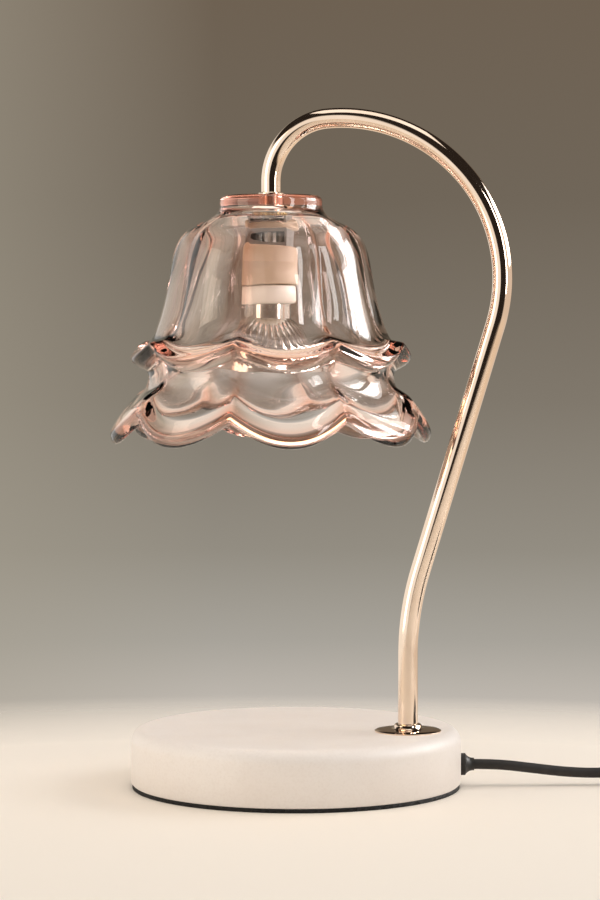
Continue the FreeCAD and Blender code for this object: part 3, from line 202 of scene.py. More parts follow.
def pressedGlass():
    make = Finish("pressedGlass")
    spot = make.node("ShaderNodeSeparateXYZ", None, {0: make.place()})
    x, y, z = (Value(make, spot.outputs[i]) for i in range(3))
    angle = y.math("ARCTAN2", y, x - tintAndPaintedEdges["centre"] * mm)
    full = (angle * (tintAndPaintedEdges["petals"] / 2)).of("SINE").of("ABSOLUTE")
    crease = (1 - full * full).power(tintAndPaintedEdges["narrow"])

    def near(height, rise):
        # 1 on a scalloped edge, falling to 0 a few millimetres off it
        off = z - (height + (1 - full) * rise) * mm
        return make.spread(off.of("ABSOLUTE"), 1, 0, 0.0, tintAndPaintedEdges["edge"] * mm)

    edges = near(tintAndPaintedEdges["lip"], tintAndPaintedEdges["lipRise"]) + near(tintAndPaintedEdges["rim"], tintAndPaintedEdges["rimRise"])
    collar = make.spread(z, 0, 1, tintAndPaintedEdges["collar"] * mm, (tintAndPaintedEdges["collar"] + tintAndPaintedEdges["collarFade"]) * mm)
    # painted light: how far the base colour is pushed to pink at creases, edges and collar
    paintedPinkShare = crease * tintAndPaintedEdges["creaseShare"] + edges * tintAndPaintedEdges["edgeShare"] + collar * tintAndPaintedEdges["collarShare"]
    paintedPinkShare = paintedPinkShare.math("MINIMUM", paintedPinkShare, 1.0)
    ripple = make.grain(30, 2, 0.4)
    depth = make.node("ShaderNodeVolumeAbsorption", None, {
        "Color": tintAndPaintedEdges["deepTone"], "Density": tintAndPaintedEdges["density"]})
    return make.surface({"Base Color": make.mixed(paintedPinkShare, (1, 1, 1, 1), tintAndPaintedEdges["tone"]), "Roughness": 0.0,
                         "IOR": 1.5, "Transmission Weight": 1.0, "Normal": make.bump(ripple, 0.0006, 0.25)},
                        depth.outputs[0])


def clearGlass(name, glow, strength):
    make = Finish(name)
    ripple = make.grain(300, 2)
    warm = make.mixed(make.spread(ripple, 0, 1), glow, tint(255, 236, 200))
    return make.surface({"Base Color": tint(255, 250, 238), "Roughness": 0.05, "IOR": 1.5,
                         "Transmission Weight": 0.6, "Emission Color": warm, "Emission Strength": strength,
                         "Normal": make.bump(ripple, 0.0002, 0.4)})


# heights between which the burner's light fades out in the bulb's pale base
milkyGlow = {"full": 209.0, "gone": 218.5}


def milkyBase():
    make = Finish("milkyBulbBase")
    blotch = make.spread(make.grain(45, 4), 0, 1)
    colour = make.mixed(blotch, tint(240, 233, 224), tint(232, 222, 210))
    height = make.node("ShaderNodeSeparateXYZ", None, {0: make.place()}).outputs["Z"]
    foot = make.spread(Value(make, height), 1, 0, milkyGlow["full"] * mm, milkyGlow["gone"] * mm)
    glow = make.mixed(foot, (0.03, 0.025, 0.018, 1), (0.75, 0.62, 0.42, 1))
    return make.surface({"Base Color": colour, "Roughness": 0.35 + blotch * 0.1, "Emission Color": glow,
                         "Emission Strength": 0.35, "Normal": make.bump(make.grain(600, 2), 0.00003, 0.5)})


def silveredGlass():
    make = Finish("silveredGlass")
    haze = make.spread(make.grain(120, 3), 0, 1)
    colour = make.mixed(haze, tint(236, 233, 228), tint(214, 208, 200))
    return make.surface({"Base Color": colour, "Metallic": 1.0, "Roughness": 0.10 + haze * 0.06})


def dull(name, light, dark, scale, roughness, grainDepth=0.00008, metallic=0.0):
    # plain moulded, fired, rubber or plated finishes: two close tones and a fine grain
    make = Finish(name)
    blotch = make.spread(make.grain(scale, 4, 0.55), 0, 1)
    fine = make.grain(scale * 14, 2)
    colour = make.mixed(blotch, light, dark)
    return make.surface({"Base Color": colour, "Metallic": metallic, "Roughness": roughness + blotch * 0.12,
                         "Normal": make.bump(fine, grainDepth, 0.5)})


finishes = {
    "stone": honedStone(),
    "foot_rubber": dull("footRubber", tint(28, 26, 25), tint(18, 17, 17), 60, 0.75),
    "gold_plate": roseGold(),
    "zinc": dull("zincPlate", tint(196, 196, 190), tint(160, 160, 156), 90, 0.28, 0.00003, 1.0),
    "brass": dull("turnedBrass", tint(206, 170, 104), tint(176, 140, 82), 80, 0.25, 0.00003, 1.0),
    "gasket": dull("siliconeGasket", tint(226, 222, 214), tint(206, 200, 190), 70, 0.45),
    "ceramic": dull("firedCeramic", tint(202, 180, 158), tint(190, 166, 142), 55, 0.55, 0.00005),
    "bulb_base": milkyBase(),
    "reflector_glass": silveredGlass(),
    "lens_glass": clearGlass("bulbLens", tint(255, 214, 150), 1.4),
    "quartz": clearGlass("quartzBurner", tint(255, 206, 140), 6.0),
    "shade_glass": pressedGlass(),
    "cord_jacket": dull("cordJacket", tint(42, 36, 32), tint(30, 26, 24), 160, 0.5),
    "black_plastic": dull("blackPlastic", tint(38, 35, 33), tint(28, 26, 25), 120, 0.4),
    "wire_insulation": dull("wireSleeve", tint(222, 216, 206), tint(200, 192, 180), 150, 0.6),
    "splice_cap": dull("spliceCap", tint(206, 198, 180), tint(186, 176, 156), 90, 0.5),
    "inner_steel": dull("plainSteel", tint(186, 184, 180), tint(150, 148, 146), 80, 0.3, 0.00003, 1.0),
    "board": dull("circuitBoard", tint(38, 92, 56), tint(28, 72, 44), 90, 0.45),
}
slotOf = {part["node"]: part["material_slot"] for part in frame["record"]["subparts"]}
bodyOf = {node: body for body, group in frame["record"]["behaviour"]["bodies"].items() for node in group}
print("finishes made:", len(finishes))


# every CAD node gets its finish; pieces made below stand in for the ones that show
for nodeName, nodeObject in nodes.items():
    nodeObject.data.materials.clear()
    nodeObject.data.materials.append(finishes[slotOf[nodeName]])


def settle(piece, node, *more):
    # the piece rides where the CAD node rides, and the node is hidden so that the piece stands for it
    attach(piece, bodyOf[node])
    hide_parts(node, *more)
    return piece


def asObject(name, mesh, finish):
    mesh.materials.clear()
    mesh.materials.append(finish)
    made = bpy.data.objects.new(name, mesh)
    scene.collection.objects.link(made)
    return made


# distances under which corners are one, and the angles in degrees from which an edge stays sharp
joining = {"skinWeld": 0.000002, "emptyFace": 0.000001, "ringWeld": 0.00001}
sharpFrom = {"skin": 32.0, "reflector": 34.0, "tube": 50.0, "shade": 60.0}


def smoothSkin(name, node):
    # a CAD node's own mesh, joined into one skin and shaded smooth up to its real edges
    mesh = nodes[node].data.copy()
    mesh.name = name
    shape = bmesh.new()
    shape.from_mesh(mesh)
    bmesh.ops.remove_doubles(shape, verts=shape.verts, dist=joining["skinWeld"])
    bmesh.ops.dissolve_degenerate(shape, dist=joining["emptyFace"], edges=shape.edges)
    shape.to_mesh(mesh)
    shape.free()
    mesh.shade_smooth()
    mesh.set_sharp_from_angle(angle=math.radians(sharpFrom["skin"]))
    return settle(asObject(name, mesh, finishes[slotOf[node]]), node)


# Geometry Nodes trees: a ring of one repeated sector, and a round tube along a curve
def newTree(name, inputs):
    tree = bpy.data.node_groups.new(name, "GeometryNodeTree")
    tree.interface.new_socket("Geometry", in_out="INPUT", socket_type="NodeSocketGeometry")
    for label, kind, value in inputs:
        socket = tree.interface.new_socket(label, in_out="INPUT", socket_type=kind)
        if value is not None:
            socket.default_value = value
    tree.interface.new_socket("Geometry", in_out="OUTPUT", socket_type="NodeSocketGeometry")
    return Finish(name, tree)


def finishTree(make, shape, finish):
    painted = make.node("GeometryNodeSetMaterial", None, {"Geometry": shape.outputs[0], "Material": finish})
    ends = make.node("NodeGroupOutput")
    make.tree.links.new(painted.outputs[0], ends.inputs[0])
    return make.tree


def ringTree():
    make = newTree("ringOfSectors", [
        ("Count", "NodeSocketInt", 8), ("Weld", "NodeSocketFloat", joining["ringWeld"]),
        ("Finish", "NodeSocketMaterial", None)])
    given = make.node("NodeGroupInput").outputs
    spots = make.node("GeometryNodeMeshLine", None, {"Count": given["Count"], "Offset": (0, 0, 0)})
    step = 2 * math.pi / Value(make, given["Count"])
    turn = Value(make, make.node("GeometryNodeInputIndex").outputs[0]) * step
    spin = make.node("ShaderNodeCombineXYZ", None, {"Z": turn})
    ring = make.node("GeometryNodeInstanceOnPoints", None, {
        "Points": spots.outputs[0], "Instance": given["Geometry"], "Rotation": spin.outputs[0]})
    solid = make.node("GeometryNodeRealizeInstances", None, {"Geometry": ring.outputs[0]})
    weld = make.node("GeometryNodeMergeByDistance", None, {
        "Geometry": solid.outputs[0], "Distance": given["Weld"]})
    return finishTree(make, weld, given["Finish"])


def tubeTree():
    make = newTree("tubeAlongCurve", [
        ("Radius", "NodeSocketFloat", 0.0045), ("Sides", "NodeSocketInt", 64),
        ("Finish", "NodeSocketMaterial", None)])
    given = make.node("NodeGroupInput").outputs
    ring = make.node("GeometryNodeCurvePrimitiveCircle", None, {
        "Resolution": given["Sides"], "Radius": given["Radius"]})
    tube = make.node("GeometryNodeCurveToMesh", None, {
        "Curve": given["Geometry"], "Profile Curve": ring.outputs[0], "Fill Caps": True})
    solid = make.node("GeometryNodeRealizeInstances", None, {"Geometry": tube.outputs[0]})
    return finishTree(make, solid, given["Finish"])


trees = {"ring": ringTree(), "tube": tubeTree()}


def grown(name, start, tree, values, sharpAngle, shift=(0, 0, 0)):
    # runs a tree on the start object and keeps the plain mesh that comes out
    modifier = start.modifiers.new("grow", "NODES")
    modifier.node_group = tree
    names = {item.name: item.identifier for item in tree.interface.items_tree if item.in_out == "INPUT"}
    for label, value in values.items():
        modifier[names[label]] = value
    bpy.context.view_layer.update()
    mesh = bpy.data.meshes.new_from_object(start.evaluated_get(bpy.context.evaluated_depsgraph_get()))
    bpy.data.objects.remove(start)
    mesh.name = name
    mesh.transform(Matrix.Translation(Vector(shift)))
    shape = bmesh.new()
    shape.from_mesh(mesh)
    bmesh.ops.recalc_face_normals(shape, faces=shape.faces)
    shape.to_mesh(mesh)
    shape.free()
    mesh.shade_smooth()
    mesh.set_sharp_from_angle(angle=math.radians(sharpAngle))
    return asObject(name, mesh, values["Finish"])


def splineThrough(points, rows):
    # a smooth line through the points, evenly spaced along its chords
    gaps = [max((b - a).length, 1e-9) for a, b in zip(points, points[1:])]
    count = len(points)
    slopes = []
    for axis in range(3):
        low, mid, high, right = [0.0] * count, [1.0] * count, [0.0] * count, [0.0] * count
        for i in range(1, count - 1):
            low[i], high[i] = gaps[i - 1], gaps[i]
            mid[i] = 2 * (gaps[i - 1] + gaps[i])
            right[i] = 6 * ((points[i + 1][axis] - points[i][axis]) / gaps[i]
                            - (points[i][axis] - points[i - 1][axis]) / gaps[i - 1])
        for i in range(1, count):
            share = low[i] / mid[i - 1]
            mid[i] -= share * high[i - 1]
            right[i] -= share * right[i - 1]
        bends = [0.0] * count
        for i in range(count - 2, 0, -1):
            bends[i] = (right[i] - high[i] * bends[i + 1]) / mid[i]
        slopes.append(bends)
    total = sum(gaps)
    made, part, passed = [], 0, 0.0
    for row in range(rows):
        want = total * row / (rows - 1)
        while part < count - 2 and want > passed + gaps[part]:
            passed += gaps[part]
            part += 1
        gap = gaps[part]
        b = min(max((want - passed) / gap, 0.0), 1.0)
        a = 1 - b
        spot = points[part] * a + points[part + 1] * b
        bend = [((a ** 3 - a) * slopes[axis][part] + (b ** 3 - b) * slopes[axis][part + 1]) * gap * gap / 6
                for axis in range(3)]
        made.append(spot + Vector(bend))
    return made


def sectorMesh(name, columns):
    # a skin over neighbouring columns of points; the last column is the first one's copy, a sector on
    mesh = bpy.data.meshes.new(name)
    rows = len(columns[0])
    spots = [tuple(spot) for column in columns for spot in column]
    faces = []
    for i in range(len(columns) - 1):
        for j in range(rows - 1):
            a, b = i * rows + j, (i + 1) * rows + j
            faces.append((a, a + 1, b + 1, b))
    mesh.from_pydata(spots, [], faces)
    mesh.update()
    made = bpy.data.objects.new(name, mesh)
    scene.collection.objects.link(made)
    return made


# glass shade: the same outline as the part's, on a much finer net
shade = {
    "centre": -11.626, "top": 267.91, "petals": 8, "hole": 3.75, "collar": 23.0, "collarHeight": 4.6,
    "topThickness": 5.0, "bell": 46.0, "bellDrop": 35.5, "lip": 63.8, "lipDrop": 73.5, "waist": 56.8,
    "waistDrop": 79.5, "rim": 73.2, "rimDrop": 107.5, "height": 112.0, "wall": 4.6, "rimBand": 7.0,
    "bellCrease": 2.6, "lipCrease": 1.8, "lipRise": 6.5, "rimCrease": 5.0, "rimRise": 10.5,
    "shoulderOut": 0.62, "shoulderDown": 0.43, "skirtOut": 0.36, "skirtDown": 0.66,
    "discSteps": (0, 0.35, 0.7), "columns": 26, "rows": 220,
}


def shadeStations():
    # radius, height, and how far a crease between two petals lies in and up
    s = shade
    bellZ, lipZ, waistZ, rimZ, footZ = (
        -s[key] for key in ("bellDrop", "lipDrop", "waistDrop", "rimDrop", "height"))
    shoulder = s["collar"] + s["shoulderOut"] * (s["bell"] - s["collar"])
    shoulderZ = bellZ * s["shoulderDown"]
    skirt = s["bell"] + s["skirtOut"] * (s["lip"] - s["bell"])
    skirtZ = bellZ + s["skirtDown"] * (lipZ - bellZ)
    wall, half = s["wall"], s["wall"] / 2
    crease, lipIn, rimIn = s["bellCrease"], s["lipCrease"], s["rimCrease"]
    lipUp, rimUp = s["lipRise"], s["rimRise"]
    drop, flare = footZ - waistZ, s["rim"] - s["waist"]
    return [
        # outside, from the collar down to the foot
        (s["collar"] - 1.4, 0, 0, 0),
        (s["collar"], -1.4, 0, 0),
        (s["collar"] + 0.2, -s["collarHeight"] + 0.3, 0, 0),
        (shoulder, shoulderZ, crease * 0.7, 0),
        (s["bell"], bellZ, crease, 0),
        (skirt, skirtZ, crease, 0),
        (s["lip"] - 5.4, lipZ + 4.6, crease, lipUp * 0.6),
        (s["lip"], lipZ, lipIn, lipUp),
        (s["lip"] - 2.6, lipZ - 3.4, lipIn, lipUp),
        (s["waist"], waistZ, lipIn, lipUp * 0.75),
        (s["waist"] + 1.4, waistZ + 0.30 * drop, lipIn, rimUp * 0.45),
        (s["waist"] + 0.68 * flare, waistZ + 0.60 * drop, rimIn * 0.7, rimUp * 0.8),
        (s["rim"] - 0.9, rimZ + half, rimIn, rimUp),
        (s["rim"], rimZ - 0.6, rimIn, rimUp),
        (s["rim"] - half, footZ, rimIn, rimUp),
        # inside, from the foot back up to the collar
        (s["rim"] - s["rimBand"] + 0.9, footZ + half + 1, rimIn, rimUp),
        (s["waist"] + 0.5 * flare, waistZ + 0.695 * drop, rimIn * 0.9, rimUp * 0.9),
        (s["waist"] + 0.16 * flare, waistZ + 0.52 * drop, rimIn * 0.6, rimUp * 0.7),
        (s["waist"] - 0.52 * wall, waistZ + 0.354 * drop, lipIn, rimUp * 0.5),
        (s["waist"] - wall, waistZ + 0.17 * drop, lipIn, lipUp * 0.6),
        (s["waist"] - 4.0, waistZ - 0.3, lipIn, lipUp * 0.8),
        (s["lip"] - 7.6, lipZ - 2.5, lipIn, lipUp),
        (s["lip"] - 6.8, lipZ + 0.7, lipIn, lipUp),
        (s["lip"] - 10.2, lipZ + 4.9, crease, lipUp * 0.5),
        (skirt - wall + 0.6, skirtZ, crease, 0),
        (s["bell"] - wall, bellZ, crease, 0),
        (shoulder - 0.8 * wall, shoulderZ - 0.7 * wall, crease * 0.6, 0),
        (s["collar"] - 0.7 * wall, -s["topThickness"], 0, 0),
    ]


def petalColumn(stations, share):
    # one line of the skin, from the hole over the outside and back along the inside
    angle = math.radians(360 / shade["petals"] * share)
    fullness = math.sin(math.pi * share)
    out = Vector((math.cos(angle), math.sin(angle), 0))
    line = [out * (radius - inward * (1 - fullness)) + Vector((0, 0, height + up * (1 - fullness)))
            for radius, height, inward, up in stations]
    skin = splineThrough(line, shade["rows"])
    hole = out * shade["hole"]
    top = [hole + (skin[0] - hole) * step for step in shade["discSteps"]]
    under = Vector((hole.x, hole.y, -shade["topThickness"]))
    bottom = [under + (skin[-1] - under) * step for step in reversed(shade["discSteps"])]
    return [spot * mm for spot in top + skin + bottom + [hole]]


def makeGlassShade():
    stations = shadeStations()
    columns = [petalColumn(stations, i / shade["columns"]) for i in range(shade["columns"] + 1)]
    petal = sectorMesh("petal", columns)
    place = (shade["centre"] * mm, 0, shade["top"] * mm)
    made = grown("glassShade", petal, trees["ring"], {
        "Count": shade["petals"], "Weld": joining["ringWeld"], "Finish": finishes["shade_glass"],
    }, sharpFrom["shade"], place)
    made.visible_shadow = False
    return settle(made, "glass_shade")


# reflector bulb: the silvered bowl with its upright flutes
reflector = {
    "centre": -11.626, "bottom": 188.01, "height": 31.0, "rim": 25.0, "neck": 9.0, "neckHeight": 7.0,
    "neckEdge": 0.4, "band": 2.2, "lip": 1.2, "lensGap": 1.0, "wall": 1.6, "lens": 1.4, "bellyOut": 0.72,
    "bellyUp": 0.47, "flutes": 32, "depth": 0.9, "fade": 4, "columns": 6, "arcSteps": 22,
}


def bowlLine(neck, rim, bottom, top):
    # the arc from the neck's foot to the rim, through a point off its chord
    a = Vector((neck, 0, top - reflector["neckHeight"]))
    b = Vector((neck + reflector["bellyOut"] * (rim - neck), 0,
                bottom + reflector["bellyUp"] * (a.z - bottom)))
    c = Vector((rim, 0, bottom))
    twice = 2 * (a.x * (b.z - c.z) + b.x * (c.z - a.z) + c.x * (a.z - b.z))
    fromA, fromB, fromC = (spot.x ** 2 + spot.z ** 2 for spot in (a, b, c))
    centre = Vector(((fromA * (b.z - c.z) + fromB * (c.z - a.z) + fromC * (a.z - b.z)) / twice, 0,
                     (fromA * (c.x - b.x) + fromB * (a.x - c.x) + fromC * (b.x - a.x)) / twice))
    start = math.atan2(a.z - centre.z, a.x - centre.x)
    end = math.atan2(c.z - centre.z, c.x - centre.x)
    radius = (a - centre).length
    steps = reflector["arcSteps"]
    angles = [start + (end - start) * i / steps for i in range(steps + 1)]
    return [centre + Vector((radius * math.cos(turn), 0, radius * math.sin(turn))) for turn in angles]


def makeReflector():
    r = reflector
    bowlRim = r["rim"] - r["lip"]
    lensRim = r["rim"] - r["lensGap"]
    outer = [Vector((0, 0, r["height"])), Vector((r["neck"] - r["neckEdge"], 0, r["height"])),
             Vector((r["neck"], 0, r["height"] - r["neckEdge"]))]
    bowl = bowlLine(r["neck"], bowlRim, r["band"], r["height"])
    lip = [Vector((r["rim"], 0, r["band"])), Vector((r["rim"], 0, 0)), Vector((lensRim, 0, 0)),
           Vector((lensRim, 0, r["lens"])), Vector((bowlRim - r["wall"], 0, r["lens"]))]
    inner = bowlLine(r["neck"] - 2 * r["wall"], bowlRim - r["wall"], r["lens"], r["height"] - r["wall"])
    inner = inner[::-1][1:] + [Vector((0, 0, r["height"] - r["wall"]))]
    columns = []
    for i in range(r["columns"] + 1):
        share = i / r["columns"]
        angle = 2 * math.pi / r["flutes"] * share
        groove = r["depth"] * (1 - math.sin(math.pi * share))
        column = []
        for line in (outer, bowl, lip, inner):
            for k, spot in enumerate(line):
                toEnd = min(k, len(line) - 1 - k) / len(line)
                radius = spot.x - (groove * min(1.0, r["fade"] * toEnd) if line is bowl else 0)
                column.append(Vector((radius * math.cos(angle), radius * math.sin(angle), spot.z)) * mm)
        columns.append(column)
    sector = sectorMesh("flute", columns)
    place = (r["centre"] * mm, 0, r["bottom"] * mm)
    made = grown("bulbReflector", sector, trees["ring"], {
        "Count": r["flutes"], "Weld": joining["ringWeld"], "Finish": finishes["reflector_glass"],
    }, sharpFrom["reflector"], place)
    return settle(made, "bulb_reflector")


# bent arm: straight runs and bends from the foot plate up to the head
arm = {
    "postX": 52.2, "foot": 27.8, "straight": 34.0, "footBend": 129.0, "lean": 17.1, "sideBend": 70.0,
    "sideAngle": 56.8, "topBend": 76.392, "topAngle": 54.6, "headBend": 27.878, "headDrop": 5.0,
    "radius": 4.5, "height": 307.024, "runStep": 8.0, "stepDegrees": 1.5, "sides": 72,
}


def inPlane(degrees):
    # a unit step in the arm's own upright plane
    return Vector((math.cos(math.radians(degrees)), 0, math.sin(math.radians(degrees))))


def armLine():
    lean = math.radians(arm["lean"])
    overSide = math.radians(90 - arm["lean"] + arm["sideAngle"])
    rise = arm["height"] - arm["radius"] - arm["foot"] - arm["straight"] - arm["footBend"] * math.sin(lean)
    rise -= arm["sideBend"] * (math.sin(lean) - math.cos(overSide))
    rise -= arm["topBend"] * (math.cos(overSide) + 1)
    slope = rise / math.cos(lean)
    spot, heading = Vector((arm["postX"], 0, arm["foot"])), 90.0
    line = [spot.copy()]
    bends = [("run", arm["straight"], 0), ("bend", arm["footBend"], -arm["lean"]), ("run", slope, 0),
             ("bend", arm["sideBend"], arm["sideAngle"]), ("bend", arm["topBend"], arm["topAngle"]),
             ("bend", arm["headBend"], 180 + arm["lean"] - arm["sideAngle"] - arm["topAngle"]),
             ("run", arm["headDrop"], 0)]
    for kind, reach, turn in bends:
        if kind == "run":
            pieces = max(2, int(reach / arm["runStep"]))
            for i in range(pieces):
                line.append(spot + inPlane(heading) * reach * (i + 1) / pieces)
        else:
            side = math.copysign(90.0, turn)
            centre = spot + inPlane(heading + side) * reach
            pieces = int(abs(turn) / arm["stepDegrees"])
            for i in range(pieces):
                line.append(centre + inPlane(heading + turn * (i + 1) / pieces - side) * reach)
        spot = line[-1]
        heading += turn
    return [point * mm for point in line]


def curveOf(name, points, kind="POLY"):
    data = bpy.data.curves.new(name, "CURVE")
    data.dimensions = "3D"
    spline = data.splines.new(kind)
    spline.points.add(len(points) - 1)
    for i, point in enumerate(points):
        spline.points[i].co = (point[0], point[1], point[2], 1)
    if kind == "NURBS":
        spline.order_u = 3
        spline.use_endpoint_u = True
    made = bpy.data.objects.new(name, data)
    scene.collection.objects.link(made)
    return made


def makeArm():
    path = curveOf("armPath", armLine())
    made = grown("bentArm", path, trees["tube"], {
        "Radius": arm["radius"] * mm, "Sides": arm["sides"], "Finish": finishes["gold_plate"],
    }, sharpFrom["tube"])
    return settle(made, "arm_tube")


# free cord: the lead to the dimmer, then the put-away coil with the plug
dimmer = {"start": 168.0, "end": 238.0}
coil = {
    "centre": 270.0, "inner": 18.5, "pitch": 5.1, "turns": 3.75, "climbFrom": 0.25, "climbTurns": 0.5,
    "climb": 5.1, "lift": 0.9, "perTurn": 16, "straight": 4.6, "leave": 8.0, "plugRun": 18.0,
    "plugHeight": 14.0,
}


def cordPiece(name, points, nodesReplaced):
    made = curveOf(name, points, "NURBS")
    made.data.bevel_depth = cordLine["radius"] * mm
    made.data.bevel_resolution = cordLine["roundness"]
    made.data.resolution_u = cordLine["smoothness"]
    made.data.use_fill_caps = True
    made.data.materials.append(finishes["cord_jacket"])
    return settle(made, *nodesReplaced)


def makeLead():
    start, end, low = cordLine["exit"], dimmer["start"], cordLine["entryHeight"]
    route = [along(start, 0, cordLine["exitHeight"]), along(start + 11, 0, cordLine["exitHeight"]),
             along(start + 26, 0.5, 8.0), along(start + 43, 1.5, 5.9), along(end - 27, 1.4, 5.4),
             along(end - 11, 0, low), along(end, 0, low)]
    made = cordPiece("leadCord", route, ["cord_lead"])
    return made


def coilSpot(turn):
    # the lower layer winds in up to turn 0 and the upper one winds out again
    radius = coil["inner"] + coil["pitch"] * abs(turn)
    angle = math.radians(360 * (turn + coil["turns"]) - 90)
    side = coil["inner"] + coil["pitch"] * coil["turns"]
    climbed = min(max(turn + coil["climbFrom"], 0.0), coil["climbTurns"]) / coil["climbTurns"]
    height = cordLine["radius"] + coil["lift"] + coil["climb"] * (1 - math.cos(math.pi * climbed)) / 2
    return along(coil["centre"] + radius * math.cos(angle), -side - radius * math.sin(angle), height)


def makeCoil():
    start, high = dimmer["end"], cordLine["entryHeight"]
    route = [along(start, 0, high), along(start + coil["straight"], 0, high), along(start + 12, 0, 7.6),
             along(start + 21, 0, 4.4)]
    steps = int(2 * coil["turns"] * coil["perTurn"])
    for i in range(steps + 1):
        route.append(coilSpot(-coil["turns"] + i / coil["perTurn"]))
    last = route[-1]
    back = (along(0, 0, 0) - along(1, 0, 0)).normalized()
    mouth = last + back * coil["plugRun"] * mm
    mouth.z = coil["plugHeight"] / 2 * mm
    route += [last + back * coil["leave"] * mm, mouth, mouth + back * coil["straight"] * mm]
    made = cordPiece("coilCord", route, ["cord_coil"])
    return made


# stage: a pale floor that fades out, soft lamps and a taupe backdrop that only eyes and reflections see
stage = {
    "floorSize": 3.0, "floorCentre": 0.25, "fadeStart": 0.40, "fadeEnd": 0.57, "fill": 0.60, "aim": 0.17,
}
lamps = [
    # name, right, toward the camera, up, width, height, watts, colour, whether it lights matt surfaces too
    ("windowRight", 0.95, -0.22, 0.60, 0.62, 0.40, 7.3, (1.0, 0.99, 0.98), False),
    ("keyRight", 0.98, -0.20, 0.60, 0.90, 0.55, 5.6, (1.0, 0.98, 0.96), True),
    ("stripFront", 0.60, 0.52, 0.44, 0.12, 0.60, 2.0, (1.0, 0.98, 0.96), False),
    ("warmLeft", -0.80, 0.35, 0.36, 0.40, 0.70, 2.0, (1.0, 0.86, 0.68), True),
    ("topPanel", 0.0, 0.05, 1.05, 0.75, 0.60, 1.9, (1.0, 0.95, 0.89), True),
]


def stagePlace(right, toward, up):
    turn = math.radians(camera["azimuth"])
    across = Vector((math.cos(turn), math.sin(turn), 0))
    near = Vector((math.sin(turn), -math.cos(turn), 0))
    return across * right + near * toward + Vector((0, 0, up))


def makeStage():
    mesh = bpy.data.meshes.new("floor")
    half = stage["floorSize"] / 2
    corners = [(-half, -half, 0), (half, -half, 0), (half, half, 0), (-half, half, 0)]
    mesh.from_pydata(corners, [], [(0, 1, 2, 3)])
    make = Finish("floorCloth")
    spot = make.node("ShaderNodeVectorMath", {"operation": "DISTANCE"},
                     {0: make.place(), 1: stagePlace(0, stage["floorCentre"], 0)})
    away = make.spread(Value(make, spot.outputs["Value"]), 0, 1, stage["fadeStart"], stage["fadeEnd"])
    cloth = make.node("ShaderNodeBsdfPrincipled", None, {
        "Base Color": tint(247, 238, 226), "Roughness": 0.7})
    gone = make.node("ShaderNodeBsdfTransparent")
    ending = make.node("ShaderNodeMixShader", None, {0: away, 1: cloth.outputs[0], 2: gone.outputs[0]})
    make.node("ShaderNodeOutputMaterial", None, {"Surface": ending.outputs[0]})
    floor = bpy.data.objects.new("floor", mesh)
    mesh.materials.append(make.material)
    scene.collection.objects.link(floor)
    for name, right, toward, up, width, height, watts, colour, matt in lamps:
        data = bpy.data.lights.new(name, "AREA")
        data.shape, data.size, data.size_y = "RECTANGLE", width, height
        data.energy, data.color = watts, colour
        lamp = bpy.data.objects.new(name, data)
        lamp.location = stagePlace(right, toward, up)
        lamp.visible_diffuse = matt
        aim = Vector((0, 0, stage["aim"])) - lamp.location
        lamp.rotation_euler = aim.to_track_quat("-Z", "Y").to_euler()
        scene.collection.objects.link(lamp)


# backdrop: its tones from below the horizon upwards, and what else mirrors and clear glass meet in the
# room, layer over layer: direction, where a layer begins, where it is full, colour
backdropTones = [
    (0.04, tint(238, 224, 208)), (0.107, tint(190, 183, 174)), (0.182, tint(168, 163, 154)),
    (0.296, tint(147, 141, 130)), (0.486, tint(128, 120, 108)), (0.74, tint(112, 102, 89)),
    (1.0, tint(110, 97, 82)),
]
leftTone = ("left", 0.03, 0.20, tint(166, 158, 142))
mirroredLayers = [
    ("near", -0.35, 0.0, tint(42, 36, 32)), ("left", 0.36, 0.44, (1.1, 1.05, 0.98, 1)),
    ("right", 0.60, 0.70, tint(232, 216, 200)), ("up", 0.38, 0.50, tint(42, 36, 32)),
    ("down", 0.24, 0.36, tint(246, 226, 202)),
]
throughLayers = [
    ("near", -0.45, 0.1, tint(122, 108, 97)), ("left", 0.45, 0.80, tint(176, 160, 146)),
    ("right", 0.50, 0.80, tint(240, 228, 216)), ("down", 0.20, 0.36, tint(246, 226, 202)),
]


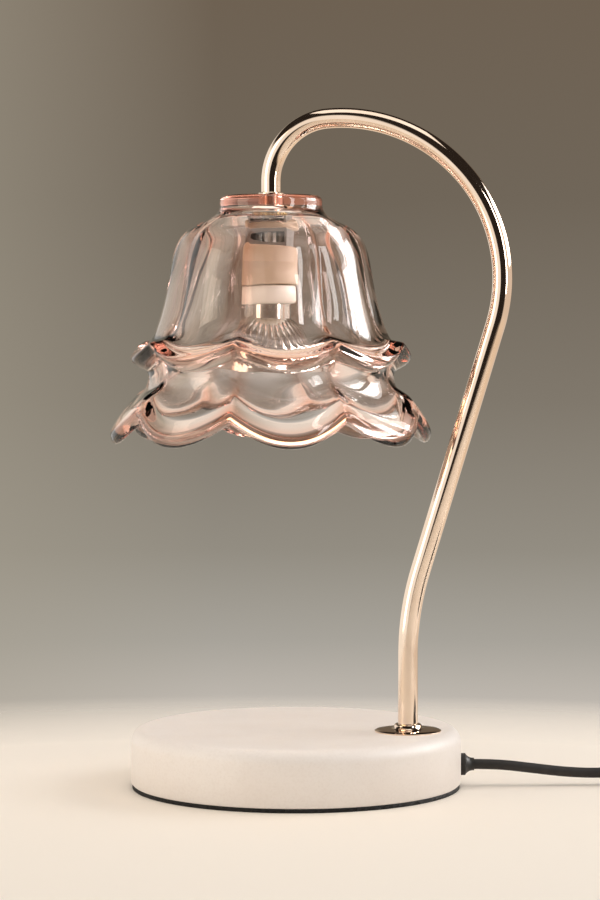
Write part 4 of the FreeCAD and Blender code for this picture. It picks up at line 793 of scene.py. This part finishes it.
def makeBackdrop():
    world = bpy.data.worlds.new("studio")
    scene.world = world
    world.use_nodes = True
    make = Finish("studio", world.node_tree)
    way = make.node("ShaderNodeTexCoord").outputs["Generated"]
    ways = {"near": stagePlace(0, 1, 0), "right": stagePlace(1, 0, 0), "left": -stagePlace(1, 0, 0),
            "up": (0, 0, 1), "down": (0, 0, -1)}

    def facing(side, low, high):
        # 0 to 1 as a ray turns toward a side
        dot = make.node("ShaderNodeVectorMath", {"operation": "DOT_PRODUCT"}, {0: way, 1: ways[side]})
        return make.spread(Value(make, dot.outputs["Value"]), 0, 1, low, high)

    def layered(colour, layers):
        for side, low, high, layer in layers:
            colour = make.mixed(facing(side, low, high), colour, layer)
        return colour

    tones = make.node("ShaderNodeValToRGB", {"stops": backdropTones}, {0: facing("up", -0.16, 0.12)})
    tones = layered(tones.outputs[0], [leftTone])
    mirrored, through = layered(tones, mirroredLayers), layered(tones, throughLayers)
    look = make.node("ShaderNodeLightPath").outputs
    shown = make.node("ShaderNodeBackground", None, {0: (1.0, 0.97, 0.94, 1), 1: stage["fill"]})
    rays = {"Is Glossy Ray": mirrored, "Is Transmission Ray": through, "Is Camera Ray": tones}
    for ray, colour in rays.items():
        seen = make.node("ShaderNodeBackground", None, {0: colour, 1: 1.0})
        shown = make.node("ShaderNodeMixShader", None, {
            0: look[ray], 1: shown.outputs[0], 2: seen.outputs[0]})
    make.node("ShaderNodeOutputWorld", None, {0: shown.outputs[0]})


makeCamera()
makeStage()
makeBackdrop()
print("camera, floor and lamps stand")

skins = {
    "base_disc": "stoneBase", "foot_pad": "footPad", "escutcheon": "footPlate", "top_ring": "headRing",
    "upper_gasket": "upperGasket", "lower_gasket": "lowerGasket", "clamp_washer": "clampWasher",
    "shade_nut": "shadeNut", "head_nipple": "headNipple", "holder_bracket": "holderBracket",
    "bracket_nut": "bracketNut", "bracket_screws": "bracketScrews", "holder_body": "holderBody",
    "holder_cover": "holderCover", "bulb_cap": "bulbCap", "bulb_lens": "bulbLens", "bulb_pins": "bulbPins",
    "cord_gland": "cordGland", "dimmer_base": "dimmerBase", "dimmer_cover": "dimmerCover",
    "dimmer_knob": "dimmerKnob", "dimmer_screws": "dimmerScrews", "plug_body": "plugBody",
    "plug_blades": "plugBlades", "coil_tie": "coilTie",
}
for node, name in skins.items():
    smoothSkin(name, node)
print("smooth skins:", len(skins))
makeArm()
makeReflector()
makeGlassShade()
print("arm, reflector and shade made")
makeLead()
makeCoil()
print("cords laid")

scene.view_settings.view_transform = "Standard"
